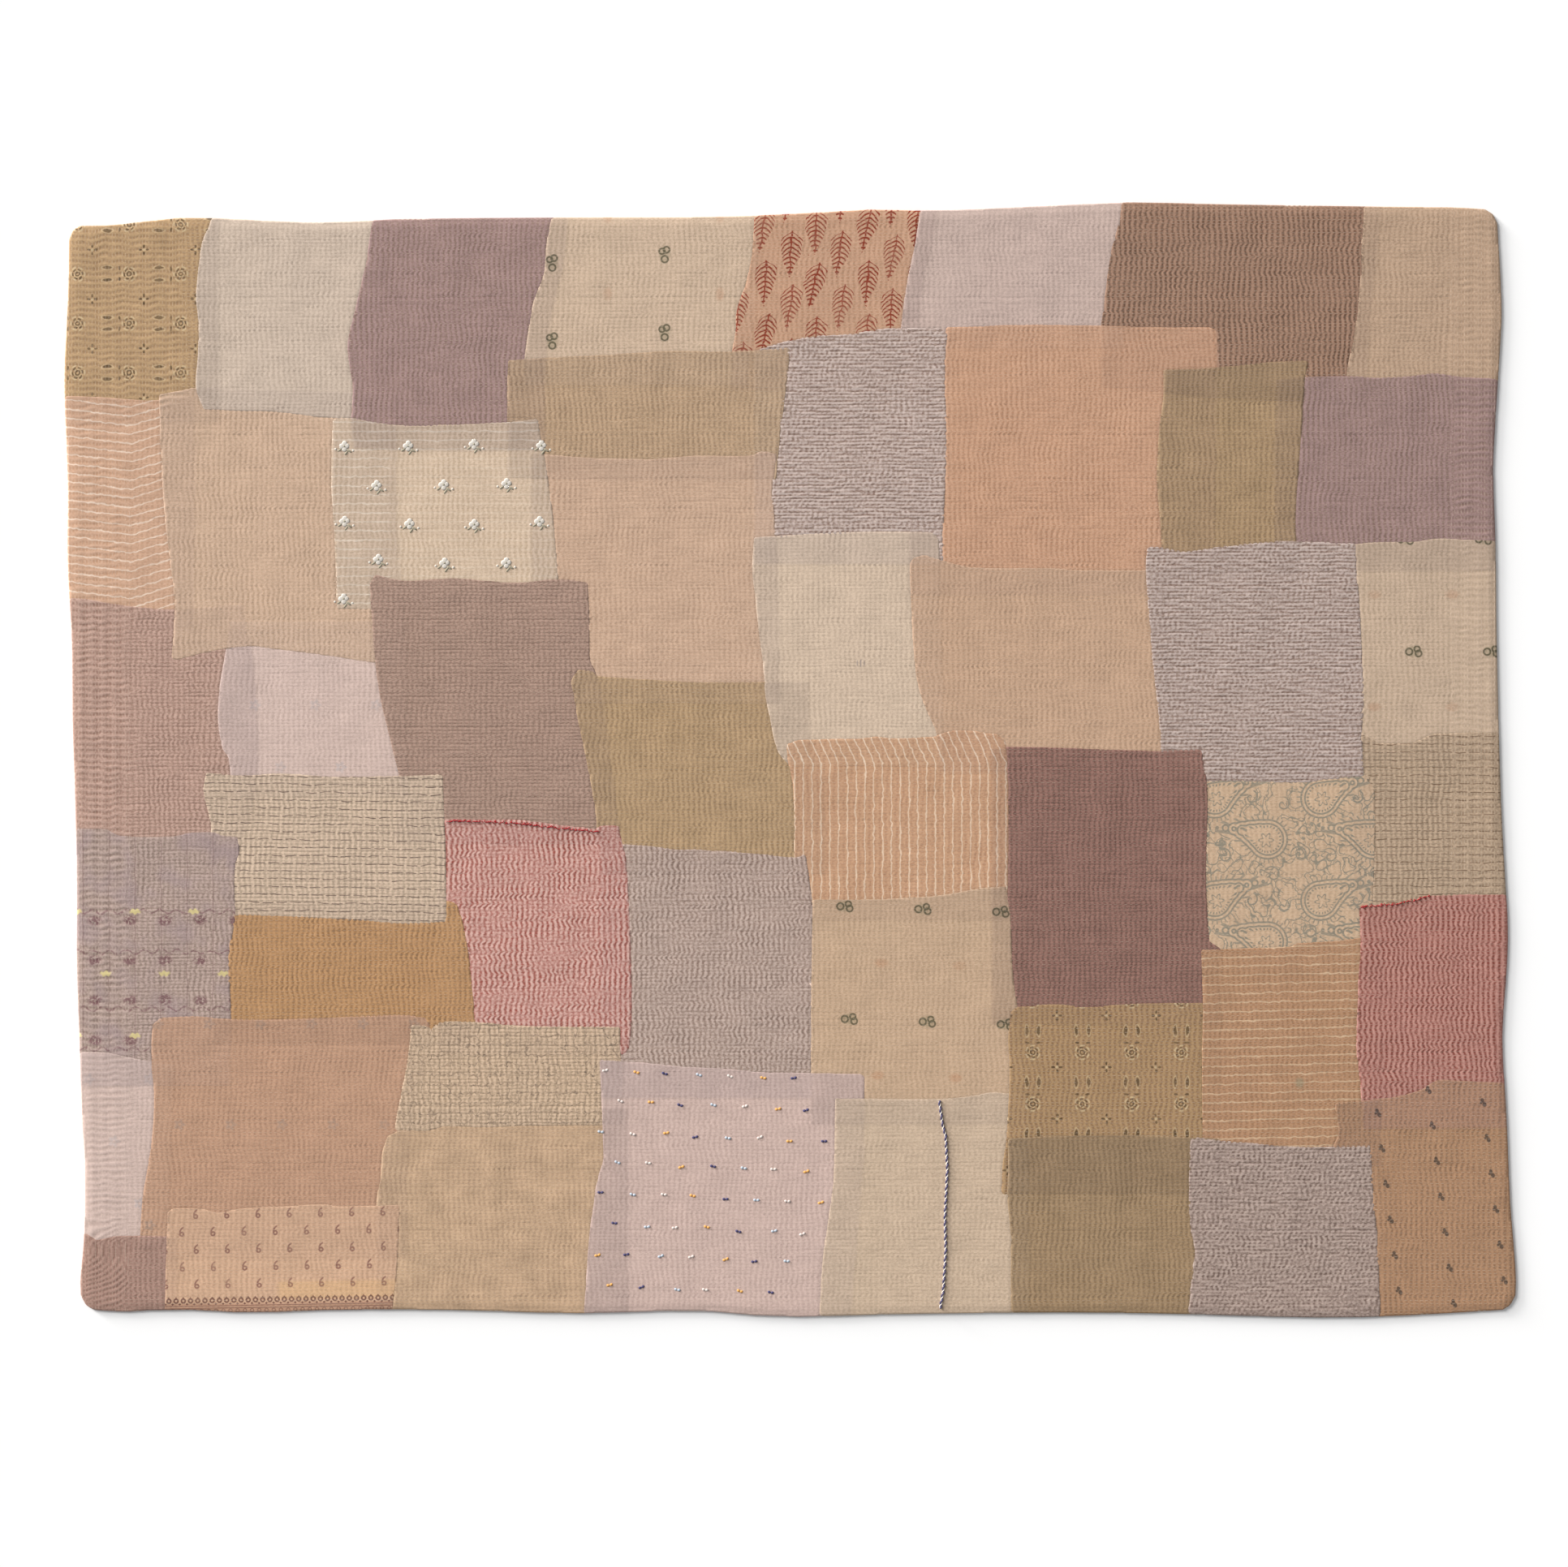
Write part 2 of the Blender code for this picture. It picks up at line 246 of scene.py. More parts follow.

# %% [markdown]
# The laying plan, in the order in which the patches go down: a later one lies over an earlier one. Each
# outline runs round a patch in centimetres, from the quilt's left edge and down from its top edge. A
# patch reaches a few centimetres under its neighbour, as a maker would tuck it, and where the upper
# cloth is sheer that margin shows through as a darker band. Outer patches run past the quilt's edge,
# and the edge trims them. The third number scales a patch's brightness: partly how faded it is, and
# partly painted shade that darkens the patches towards the right, as light falling off to that side
# would. Turn is how many degrees its print is turned anticlockwise, and anchor is where one motif of its
# print sits, in the same centimetres.

# %% Write down the laying plan
Patch = namedtuple("Patch", "name cloth shade turn anchor outline")
PLAN = [
    Patch("ochre_print_west", "ochre_block", 1.02, 90, (7.8, 8.6),
          [(-2, -2), (18.8, -2), (18.3, 9), (18.6, 26.3), (-2, 26.4)]),
    Patch("peach_stripe_west", "peach_stripe", 1.03, 0, (8, 24.5),
          [(-2, 23.1), (4, 23.3), (10.6, 23.7), (15.5, 23.3), (15.6, 40), (15.4, 51), (-2, 50.5)]),
    Patch("rosewood_west", "rosewood_cotton", 1.04, 0, (10, 60),
          [(-2, 47.3), (2, 47.3), (6.8, 48.1), (12.9, 48.6), (21.3, 48), (22.7, 56), (23, 70), (20, 79),
           (-2, 79)]),
    Patch("shell_pink_west", "shell_muslin", 1.0, 0, (30, 60),
          [(19.8, 50), (40.5, 50), (40.8, 60), (41, 71), (20, 71), (19.7, 66.4), (18.9, 65), (18.4, 61.1),
           (18.7, 57.2), (19.4, 53.3)]),
    Patch("sand_large", "sand_muslin", 1.02, 0, (25, 38),
          [(11.4, 23), (13.6, 22.6), (15.8, 22.2), (26, 22.5), (39.7, 22.8), (39.8, 40), (41, 55),
           (37.1, 54.9), (31, 54), (26.1, 53.4), (22.3, 53), (18.4, 53.4), (13.7, 54.5), (12.9, 54.4),
           (13.2, 47.5), (12.1, 37.8), (11.6, 30.1)]),
    Patch("cream_north", "cream_muslin", 1.0, 0, (27, 12),
          [(17.7, -2), (39, -2), (38, 10), (37, 25.9), (34.4, 25.8), (31, 25.7), (26.1, 25.1), (21.3, 24.9),
           (16.7, 24.7), (15.8, 22.2), (16, 18.5), (16.1, 14.6), (15.8, 11.7), (16, 8.8), (16.5, 4.9),
           (17.6, 2)]),
    Patch("mauve_north", "mauve_muslin", 1.0, 0, (46, 13),
          [(37.3, -2), (60.2, -2), (59.7, 6.9), (59, 9.8), (58.1, 13.7), (57.4, 20), (57.4, 29.6),
           (46, 29.7), (34.5, 29.4), (34.3, 25.8), (34.5, 22.4), (34.1, 19.5), (33.9, 16.6), (34.8, 12.7),
           (35.5, 9.8), (36.3, 5.9)]),
    Patch("cream_buti_north", "cream_buti", 1.0, 90, (71.6, 6.3),
          [(58.2, -2), (83.5, -2), (82.5, 10), (81.5, 21.9), (68, 21.8), (54.9, 21.8), (55, 18.5),
           (55.4, 15.6), (56.1, 11.7), (57.2, 8.8), (57.6, 4.9), (58.1, 1.9)]),
    Patch("fern_north", "fern_print", 1.0, 0, (89.6, 9.5),
          [(82.5, -2), (104.5, -2), (103.5, 5), (102.3, 10), (101.8, 20), (86.5, 22.4), (79.6, 22.4),
           (79.7, 17.9), (80.1, 15.6), (80.3, 12.7), (81.3, 9.8), (82.1, 5.9)]),
    Patch("blush_north", "blush_muslin", 1.0, 0, (113, 7),
          [(102.5, -2), (128.5, -2), (127.6, 5), (126.8, 10), (126.2, 17.5), (99.6, 17.5), (99.8, 15.1),
           (100.2, 11.7), (100.7, 8.8), (101.6, 4.5)]),
    Patch("brown_north", "brown_cotton", 1.02, 0, (140, 10),
          [(126.4, -2), (157.2, -2), (156.4, 7), (155.6, 15), (155.4, 24.3), (148, 23.9), (137.5, 23.4),
           (123.7, 22), (123.7, 14.8), (123.9, 13.2), (124.3, 9.8), (124.9, 5.9), (125.8, 2.5)]),
    Patch("tan_corner", "tan_muslin", 1.0, 0, (163, 10),
          [(155.2, -2), (175, -2), (175, 24.3), (152.8, 24.2), (152.9, 20.8), (153.3, 18.5), (153.9, 15.6),
           (154.6, 8.8), (154.7, 4.9)]),
    Patch("mauve_east", "mauve_muslin", 0.93, 0, (160, 30),
          [(144.6, 21.2), (148.3, 20.9), (152.9, 20.8), (156.8, 21), (160.7, 20.8), (163.6, 20.5),
           (166.5, 20.9), (175, 21.3), (175, 44), (144.3, 44), (144.3, 30)]),
    Patch("peach_large", "peach_muslin", 1.0, 0, (120, 30),
          [(100.9, 17), (104.9, 17), (105.2, 15), (108.4, 14.9), (114.2, 14.7), (123.7, 14.8), (131.6, 15),
           (136.5, 15), (137.3, 15.3), (137.5, 15.8), (137.4, 30), (137.1, 44), (133, 46.8), (100.7, 46.8)]),
    Patch("olive_east", "deep_olive", 0.82, 0, (138, 30),
          [(131.1, 20), (135.5, 19.9), (140.4, 19.5), (144.2, 19.1), (148.3, 19), (147.9, 21.4),
           (147.3, 30.1), (146.8, 37.8), (147.1, 44), (131, 44), (130.7, 37.8), (130.3, 33), (130.6, 27.2),
           (131.1, 23.3)]),
    Patch("cream_buti_east", "cream_buti", 0.90, 0, (160.9, 53.6),
          [(152, 41), (156.8, 40.6), (160.7, 40.6), (163.6, 40.2), (166.5, 40.3), (175, 40.6), (175, 66.5),
           (152, 66.5)]),
    Patch("brown_dash_east", "brown_dash", 1.0, 0, (160, 75),
          [(153.4, 63.4), (154.7, 63.5), (156.8, 64.5), (160.7, 64.5), (163.6, 63.4), (175, 63.3), (175, 87),
           (153.4, 86)]),
    Patch("paisley_east", "paisley_net", 1.0, 0, (143.5, 76),
          [(135, 63), (154.5, 63), (155, 68), (156.2, 70.5), (156.2, 78.5), (155.8, 86), (155.5, 92),
           (135, 92)]),
    Patch("grey_fleck_north", "grey_fleck", 1.02, 0, (94, 30),
          [(82.3, 17.8), (85.2, 16.9), (89.1, 16.1), (93.9, 15.8), (97.3, 15.2), (104.5, 15.1),
           (105.3, 15.8), (105, 19.5), (105.2, 29.1), (104.8, 38.8), (104.8, 43.2), (82.3, 43.2)]),
    Patch("olive_north", "olive_muslin", 1.0, 0, (70, 25),
          [(53, 18.9), (60, 18.5), (65.8, 18.2), (72.6, 17.8), (79.7, 17.9), (86.5, 17.4), (86.3, 20.4),
           (85.8, 24.3), (85.4, 27.2), (84.9, 33.1), (68, 33.2), (53, 33), (52.9, 26.4), (52.9, 22.4)]),
    Patch("rose_tan_middle", "rose_tan", 1.0, 0, (70, 45),
          [(55.7, 30), (57.4, 30.1), (62, 30.5), (69.7, 30.7), (75.5, 30.3), (81.8, 30.3), (83.2, 29.8),
           (85, 30.1), (84.5, 34), (84.7, 37.8), (85.2, 45), (85.4, 59.8), (59, 59.8), (58.8, 46),
           (55.7, 45)]),
    Patch("silver_flower_middle", "silver_flower", 1.0, 0, (45, 36),
          [(32.1, 25.9), (34.3, 25.8), (36.8, 26.3), (40.7, 26.7), (46.5, 26.6), (52.9, 26.3), (56.5, 25.9),
           (56.9, 28.7), (57.4, 31.1), (58.3, 37.8), (58.9, 44.8), (59, 47), (38, 48.5), (32.6, 48.5),
           (32.3, 40), (31.9, 33)]),
    Patch("cocoa_middle", "cocoa_cotton", 1.0, 0, (50, 60),
          [(37.1, 44.5), (40.7, 45.2), (46.5, 44.9), (50.3, 45.2), (54.2, 45.4), (59, 45), (62.4, 45.4),
           (62.6, 49.5), (62.7, 54.5), (63.4, 56.2), (64.4, 60.1), (64.9, 64), (66, 72.7), (66.3, 76.6),
           (39.3, 76.5), (40.2, 70), (39.5, 66.4), (38.2, 61.1), (37.6, 58.2), (37, 53.3), (36.5, 45.6)]),
    Patch("olive_middle", "deep_olive", 0.93, 0, (75, 68),
          [(61.2, 55.8), (62.9, 56), (63.7, 56.6), (69.7, 57), (76.5, 57.3), (88.8, 57.2), (89, 66),
           (90.8, 67.5), (90.8, 80.3), (64, 80), (63.4, 72.7), (62.4, 66.9), (61.8, 64), (61.2, 61.1),
           (60.5, 57.2)]),
    Patch("ivory_middle", "ivory_muslin", 1.0, 0, (95, 55),
          [(82.3, 40), (84.9, 39.9), (89.1, 39.6), (94.9, 39.4), (103.1, 39.4), (103.9, 39.7), (104.3, 40.6),
           (104.6, 55), (105, 67.2), (86.5, 67.1), (85.4, 65.9), (84.8, 64.5), (84.3, 62), (83.7, 59.1),
           (83.4, 55.3), (82.9, 51.4), (82.5, 47.5), (82.1, 43.7)]),
    Patch("warm_tan_middle", "warm_tan", 1.0, 0, (115, 55),
          [(100.9, 43.2), (101.3, 42.5), (102.6, 42.1), (104.4, 42.7), (108.4, 43.6), (118.1, 43.7),
           (120, 43.9), (131, 43.9), (132, 68.3), (104.3, 68), (104.1, 63.5), (103.1, 61.1), (102.3, 59.1),
           (101.6, 56.2), (101.1, 49.5)]),
    Patch("grey_fleck_east", "grey_fleck", 0.94, 0, (142, 55),
          [(129.2, 41.2), (130.7, 41.2), (133.6, 41.7), (137.5, 41.2), (141.3, 40.8), (144.2, 40.5),
           (147.1, 40.5), (153.9, 40.8), (154.1, 43.7), (154.5, 49.5), (154.9, 59.1), (154.7, 63.5),
           (154.9, 68.4), (151, 68.8), (147.1, 69.2), (140, 69), (131, 69.2), (130.7, 63), (130.2, 58.2),
           (129.7, 53.3), (129, 43.7)]),
    Patch("walnut_east", "walnut_cotton", 1.0, 0, (124, 80),
          [(110.6, 65.2), (112.6, 65), (118.1, 65.1), (123.9, 65.3), (130.7, 65.5), (135.5, 65.3),
           (135.8, 66.4), (136.3, 70.8), (136.1, 80.4), (136.5, 88.2), (137.8, 89), (137.8, 98),
           (110.6, 98)]),
    Patch("orange_stripe_middle", "orange_stripe", 1.0, 90, (99.7, 74),
          [(86.2, 64.7), (87.6, 64.2), (94.9, 64), (96.8, 63.8), (98.7, 64), (103.6, 63.8), (105, 63.3),
           (107, 63), (111.3, 63.5), (112.2, 64.3), (112.5, 67), (112.6, 75), (112.4, 85.6), (87.2, 85.6),
           (87.1, 78), (87, 70), (86.3, 66.4)]),
    Patch("grey_weave_south", "grey_weave", 1.0, 0, (77, 90),
          [(63.9, 76.5), (69.7, 76.8), (72.6, 77.2), (76.5, 77.3), (83.2, 77.8), (87.1, 78.2), (88.4, 77.8),
           (88.9, 80.9), (89.2, 84.3), (89.1, 106.8), (63.9, 106.8)]),
    Patch("cream_buti_south", "tan_buti", 1.0, -2, (102.4, 84.3),
          [(89.3, 83.2), (94.9, 83.2), (98.7, 83.1), (104.5, 82.7), (108.4, 82), (112.3, 81.6),
           (112.8, 85.3), (113.1, 92.1), (113.8, 97), (115, 110), (89.1, 110), (89.1, 95)]),
    Patch("red_middle", "red_weave", 1.0, 0, (56, 88),
          [(45.4, 73.6), (50.3, 73.7), (54.2, 73.7), (58.1, 74.2), (63.4, 74.8), (64.1, 74.4), (66.1, 74.4),
           (66.5, 76.1), (67, 78.5), (67.4, 85.3), (67.7, 95.9), (67.4, 100.8), (66.8, 101.6), (44.6, 101.6),
           (44.6, 80)]),
    Patch("ochre_south", "ochre_cotton", 1.0, 0, (34, 91),
          [(17.8, 83.5), (45.8, 83.4), (46.8, 83.7), (47.6, 86.2), (48.4, 91.1), (48.7, 94.5), (49.3, 100.3),
           (17.8, 100.3)]),
    Patch("purple_dash_west", "purple_dash", 1.03, -1, (30, 77),
          [(17, 68.1), (21.3, 68.4), (26.1, 68.2), (31, 68.5), (39.7, 68.5), (45.1, 68.3), (45.3, 72.7),
           (45.5, 78.5), (45.6, 85.8), (40.7, 86), (34.8, 85.6), (31, 85.4), (25.2, 85.1), (17.7, 85),
           (17.6, 74.6), (16.7, 70.3)]),
    Patch("grey_embroidered_west", "grey_embroidered", 1.0, 0, (8.5, 84.6),
          [(-2, 74.8), (4.8, 74.8), (6.8, 75.6), (12.6, 75.7), (15.5, 75.2), (17.9, 75.2), (18.9, 75.6),
           (20.7, 75.7), (20.9, 77.5), (20.4, 79), (20.3, 82.4), (20.4, 85.3), (19.7, 90.1), (19.9, 97.1),
           (19.8, 105.4), (-2, 105.4)]),
    Patch("shell_pink_south", "shell_muslin", 0.98, 0, (6, 112),
          [(-2, 101.2), (4.8, 101.4), (6.8, 101.8), (10.2, 102.5), (13, 102.9), (12.4, 124.6), (-2, 124.6)]),
    Patch("dusty_rose_south", "dusty_rose", 1.0, 0, (26, 110),
          [(10.6, 98.1), (11.6, 97.3), (15.5, 97.1), (20.3, 97.5), (26.1, 97.5), (35.8, 97.1), (40.7, 97),
           (43.1, 97.3), (43.6, 98.1), (43.4, 101), (41.2, 112), (41, 126), (9, 126), (9.4, 119.2),
           (10, 115.3), (10.6, 111.4), (10.8, 106.6), (10.5, 102.7)]),
    Patch("cedar_corner", "cedar_cotton", 1.0, 0, (6, 128),
          [(-2, 122.5), (2.3, 122.9), (3.9, 123.8), (6.8, 123.3), (13.5, 123.4), (13.5, 136), (-2, 136)]),
    Patch("cloudy_sand_south", "cloudy_sand", 1.0, 0, (51, 122),
          [(41.5, 108), (67.3, 108), (67.2, 136), (37.2, 136), (37.3, 119.2), (37.8, 116.3), (38, 113.4),
           (38.6, 111.4), (40, 110.6)]),
    Patch("small_paisley_south", "small_paisley", 1.0, 1, (26.3, 131),
          [(12.4, 120.4), (13.2, 120), (16.5, 120.1), (18.4, 120.5), (21.3, 120), (26.1, 119.8), (31, 119.5),
           (32.9, 119.8), (40, 119.6), (39.9, 123), (39.7, 126.9), (39.4, 129.8), (38.7, 136), (12, 136),
           (12.2, 126.9)]),
    Patch("dark_check_south", "dark_check", 1.0, 0, (53, 104),
          [(41.4, 98.1), (43.1, 98.3), (43.8, 98.7), (44.8, 97.9), (46.5, 97.7), (50.3, 97.9), (55.2, 98.3),
           (66.3, 98.4), (66.3, 101), (66.6, 104), (66.6, 110), (56.1, 110.1), (50.3, 110.3), (45.3, 110.2),
           (43.6, 110.7), (39.5, 110.6), (39.7, 109), (40.4, 105.6), (41.1, 101.7)]),
    Patch("dotted_pink_south", "dotted_pink", 1.0, -2, (75.5, 112),
          [(63.9, 102.3), (69.7, 102.7), (73.6, 103.1), (79.4, 103.4), (83.2, 103.8), (94.9, 104),
           (95.4, 104.3), (95.3, 115), (93.5, 136), (61.8, 136), (62.4, 126.9), (62.7, 123), (63.2, 119.2),
           (63.7, 116.3), (64.3, 114.3), (64.3, 111.4), (64.1, 106.6)]),
    Patch("cream_braid_south", "cream_braid", 1.0, 0, (103, 120),
          [(92, 106.9), (95.3, 106.9), (103.6, 107), (108.4, 106.6), (110.4, 106.2), (115, 106.5),
           (115, 136), (90, 136), (90.4, 126.9), (91.2, 121.1), (91.8, 116.3)]),
    Patch("ochre_print_south", "brown_block", 1.0, 0, (121.4, 101.4),
          [(112.9, 96.6), (113.6, 96), (118.1, 95.7), (122, 96), (127.8, 95.6), (137.8, 95.5),
           (137.8, 118.4), (111.8, 118.3), (111.9, 115.3), (112.4, 111.4), (112.8, 103.7), (112.6, 99.8)]),
    Patch("amber_stripe_south", "amber_stripe", 0.97, 1.5, (145, 96.4),
          [(135.6, 89.2), (141.3, 89), (146.2, 88.8), (147.1, 88.4), (151, 88.2), (157, 87.5), (157, 115),
           (135.8, 115), (135.7, 101.7), (135.8, 95.9)]),
    Patch("red_rib_east", "red_rib", 1.0, 0, (164, 96),
          [(154.4, 84.1), (156.8, 83.8), (159.7, 83.7), (161.2, 83.2), (163.1, 82.7), (175, 82.6),
           (175, 110.4), (155, 110.5), (154.7, 107.3), (154.4, 103.7), (154.1, 100.8), (154.4, 92.1),
           (154.6, 88.2)]),
    Patch("tick_tan_corner", "tick_tan", 1.0, 0, (164.2, 118.6),
          [(151.5, 107.5), (154.4, 107.2), (158.8, 106.7), (161.7, 105.9), (163.6, 104.8), (166.5, 104.8),
           (175, 105.3), (175, 136), (152.9, 136), (152.4, 116), (151.3, 112.6), (152, 110.9)]),
    Patch("olive_south", "deep_olive", 0.72, 0, (125, 123),
          [(112.6, 111.7), (118.1, 111.4), (127.8, 111.3), (137.5, 111.7), (137.5, 136), (112.9, 136),
           (112.9, 123), (112.5, 118.7), (112.6, 115.3)]),
    Patch("lilac_south", "lilac_weave", 0.97, 0, (146, 124),
          [(134.3, 111.7), (135.5, 111.6), (137.5, 111.9), (141.3, 112.2), (147.1, 112.7), (155.7, 112.6),
           (155.9, 115.3), (156.1, 119.2), (156.5, 123), (157, 136), (133.8, 136), (134.6, 126.9),
           (134.9, 125.5), (134.2, 121.1), (134.2, 115.3)]),
]
print(len(PLAN), "patches to lay")


def place(x_cm, y_cm):
    """A place of the laying plan as metres in the quilt's own frame."""
    return low.x + x_cm * CM, high.y - y_cm * CM


# %% [markdown]
# Where each patch lies. For every point of the lattice this works out how far inside each patch it is.
# The last patch that covers a point is the one that shows there, and the ones below it tint it if it is
# sheer. Seams wander by half a millimetre, and a frayed cloth's edge is ragged.

# %% Work out which patch shows where
EDGE_ZONE = 45 * MM
DEEP_INSIDE = -50 * MM
to_edge = np.full(plain_x.shape, DEEP_INSIDE)
near_edge = (np.abs(plain_x) > LENGTH / 2 - EDGE_ZONE) | (np.abs(plain_y) > WIDTH / 2 - EDGE_ZONE)
to_edge[near_edge] = distance_to_loop(plain_x[near_edge], plain_y[near_edge], rim_points)

POINTS_PER_SIDE = 6
loops = [smooth_loop([place(x, y) for x, y in patch.outline], POINTS_PER_SIDE) for patch in PLAN]

SEAM_WANDER, SEAM_BUMP, SEAM_SEED = 0.5 * MM, 16 * MM, 300
FRAY_BUMP, FRAY_SEED = 3.2 * MM, 400


def depth_in(index, x, y):
    """Signed distance to a patch's own edge, with that edge's hand-made wander."""
    cloth = CLOTHS[PLAN[index].cloth]
    wander = SEAM_WANDER * slow_noise(x, y, SEAM_BUMP, SEAM_SEED + index)
    ragged = cloth.fray * MM * slow_noise(x, y, FRAY_BUMP, FRAY_SEED + index, 1)
    return distance_to_loop(x, y, loops[index]) + wander + ragged


def window_around(loop, x, y, margin):
    """The part of the lattice that holds a loop and a margin round it."""
    (left, bottom), (right, top) = loop.min(0) - margin, loop.max(0) + margin
    js, is_ = np.where((x > left) & (x < right) & (y > bottom) & (y < top))
    return slice(js.min(), js.max() + 1), slice(is_.min(), is_.max() + 1)


owner = np.full(plain_x.shape, -1)
for index, loop in enumerate(loops):
    window = window_around(loop, plain_x, plain_y, 10 * MM)
    covered = distance_to_loop(plain_x[window], plain_y[window], loop) < 0
    owner[window][covered] = index
print("Points of the quilt that no patch covers:", int(((owner < 0) & (to_edge < -1 * MM)).sum()))

# %% [markdown]
# The end bands. At both ends of the quilt the stitches run the other way, as a maker does to firm the
# edge. The border between the two directions is blurred and uneven, and one corner has a wider band.

# %% Find the end bands
BARE_ZIGZAG = 0.3
BAND_BORDER = 26 * MM
BAND_UNEVEN, BAND_BUMP, BAND_SEED = 9 * MM, 38 * MM, 12
WIDE_CORNER, WIDE_CORNER_FROM, WIDE_CORNER_BLEND = 68 * MM, 0.40, 30 * MM


def spread_out(values, times):
    """Blurs lattice values a little towards their neighbours, several times over."""
    for _ in range(times):
        sides = sum(np.roll(values, step, axis) for axis in (0, 1) for step in (1, -1))
        values = (values + sides) / 5
    return values


def eased(share):
    """A share from 0 to 1 that starts and ends gently."""
    return share * share * (3 - 2 * share)


zigzag_of = np.array([CLOTHS[patch.cloth].zigzag for patch in PLAN] + [BARE_ZIGZAG])
loose = spread_out(zigzag_of[owner], 3)
unbanded_of = np.array([patch.cloth in UNBANDED for patch in PLAN] + [False]).astype(float)
unbanded = spread_out(unbanded_of[owner], 10)
wide_corner = WIDE_CORNER * np.clip((plain_y - WIDE_CORNER_FROM) / WIDE_CORNER_BLEND, 0, 1) * (plain_x < 0)
band_start = LENGTH / 2 - END_BAND - wide_corner
band_start = band_start + BAND_UNEVEN * slow_noise(plain_y, plain_x, BAND_BUMP, BAND_SEED)
band_share = eased(np.clip((np.abs(plain_x) - band_start) / BAND_BORDER + 0.5, 0, 1) * (1 - unbanded))
in_band = band_share > 0.5
print(f"{in_band.mean():.0%} of the stitches run the other way")

# %% [markdown]
# Now the lattice takes the hand's unevenness. Each row of stitches starts a little before or after the
# last one, so the puckers zigzag from row to row, more in a loose cloth than in a fine one. Slow drifts
# make them lean. In the two end bands the quilt is stitched the other way, and nothing zigzags there.

# %% Move the lattice by hand
ZIGZAG, ZIGZAG_LINES = 1.05 * MM, 3.2
LONG_LEAN, SHORT_LEAN = 5.0 * MM, 2.1 * MM
LONG_WANDER, SHORT_WANDER = 1.5 * MM, 0.6 * MM
STILL_EDGE = 14 * MM

line_number = lattice_j // 2
line_count = int(line_number.max()) + 2
line_turn = np.cumsum(hand.uniform(-0.7, 0.7, line_count))
step_side = np.sin(2 * math.pi * np.arange(line_count) / ZIGZAG_LINES + line_turn)
step_size = hand.uniform(0.2, 0.9, line_count)
swing_turn = hand.uniform(0, 2 * math.pi, line_count)
swing_length = hand.uniform(0.05, 0.16, line_count)


def row_shift(lines):
    """How far each stitch of these rows is ahead of the row's even spacing, from about -1.5 to 1.5."""
    swing = np.sin(2 * math.pi * plain_x / swing_length[lines] + swing_turn[lines])
    return step_side[lines] * step_size[lines] + 0.75 * swing


def between_lines(of_lines):
    """A value that belongs to lines of stitches, and between two lines their mean."""
    here, after = of_lines(line_number), of_lines(line_number + 1)
    return np.where(lattice_j % 2 == 0, here, (here + after) / 2)


def ripple(size, seed, along=1.0, across=1.0):
    """Slow noise over the lattice, its bumps so many millimetres wide, less where it runs faster."""
    return slow_noise(plain_x * along, plain_y * across, size * MM, seed)


shift_here = between_lines(row_shift)
line_slip = hand.uniform(-0.45, 0.45, line_count) * MM
line_pull = hand.uniform(0.65, 1.35, line_count)


def row_pull(lines):
    """How tight the thread of each line is, which changes along the line."""
    swing = np.sin(2 * math.pi * plain_x / swing_length[lines] * 1.7 + swing_turn[lines])
    return line_pull[lines] * (1 + 0.35 * swing)


slip_here = between_lines(lambda lines: line_slip[lines])
pull_here = between_lines(row_pull)
zigzag = ZIGZAG * loose * shift_here
lean = LONG_LEAN * ripple(75, 22, 0.35) + SHORT_LEAN * ripple(22, 23, 0.55)
row_wander = LONG_WANDER * ripple(90, 24, 1.0, 0.4) + SHORT_WANDER * ripple(20, 25, 1.0, 0.5)
inward = np.clip(-to_edge / STILL_EDGE, 0, 1)
X = plain_x + (zigzag + lean) * (1 - band_share) * inward
Y = plain_y + (row_wander + slip_here) * inward
print(f"Stitches moved by up to {np.abs(X - plain_x).max() / MM:.1f} mm along their row")

# %% [markdown]
# Every point also gets its place in stitches: how many stitches along and how many rows up it lies.
# The field and the end bands count their own way, and in the lower left corner the rows turn round it.

# %% Count the stitches
CORNER_TURN_BELOW, CORNER_TURN_BLEND = 121, 30 * MM
CORNER_SQUASH = 1.3
field_u, field_v = lattice_i / 2, lattice_j / 2
band_wave = 3.6 * MM * ripple(19, 31, 1.2, 0.55) + 3.4 * MM * ripple(60, 32, 1.0, 0.4)
corner_x, corner_y = place(2, 125)
around_corner = np.hypot(plain_x - corner_x, (plain_y - corner_y) * CORNER_SQUASH)
below_turn = (place(0, CORNER_TURN_BELOW)[1] - plain_y) / CORNER_TURN_BLEND
corner_share = np.clip(below_turn, 0, 1) * (plain_x < 0)
band_y = plain_y * (1 - corner_share) + around_corner * corner_share + band_wave
band_u, band_v = band_y / BAND_RIDGE_PITCH, plain_x / ROW_PITCH
print(f"{field_v.max():.0f} rows of up to {field_u.max():.0f} stitches")

# %% [markdown]
# Height. The body of the quilt rises from a thin turned-in edge to full thickness and is never quite
# even. On top of that comes the pucker, whose depth belongs to the cloth: a row of stitches is a shallow
# trench, and along it the cloth rises and falls with every stitch.

# %% Shape the body's height
BODY_HEIGHT = 3.6 * MM
EDGE_HEIGHT = 2.9 * MM
EDGE_SLOPE = 9 * MM
WEST_BAND_PUFF, EAST_BAND_PUFF = 0.82, 0.45
EDGE_RELIEF = 0.25

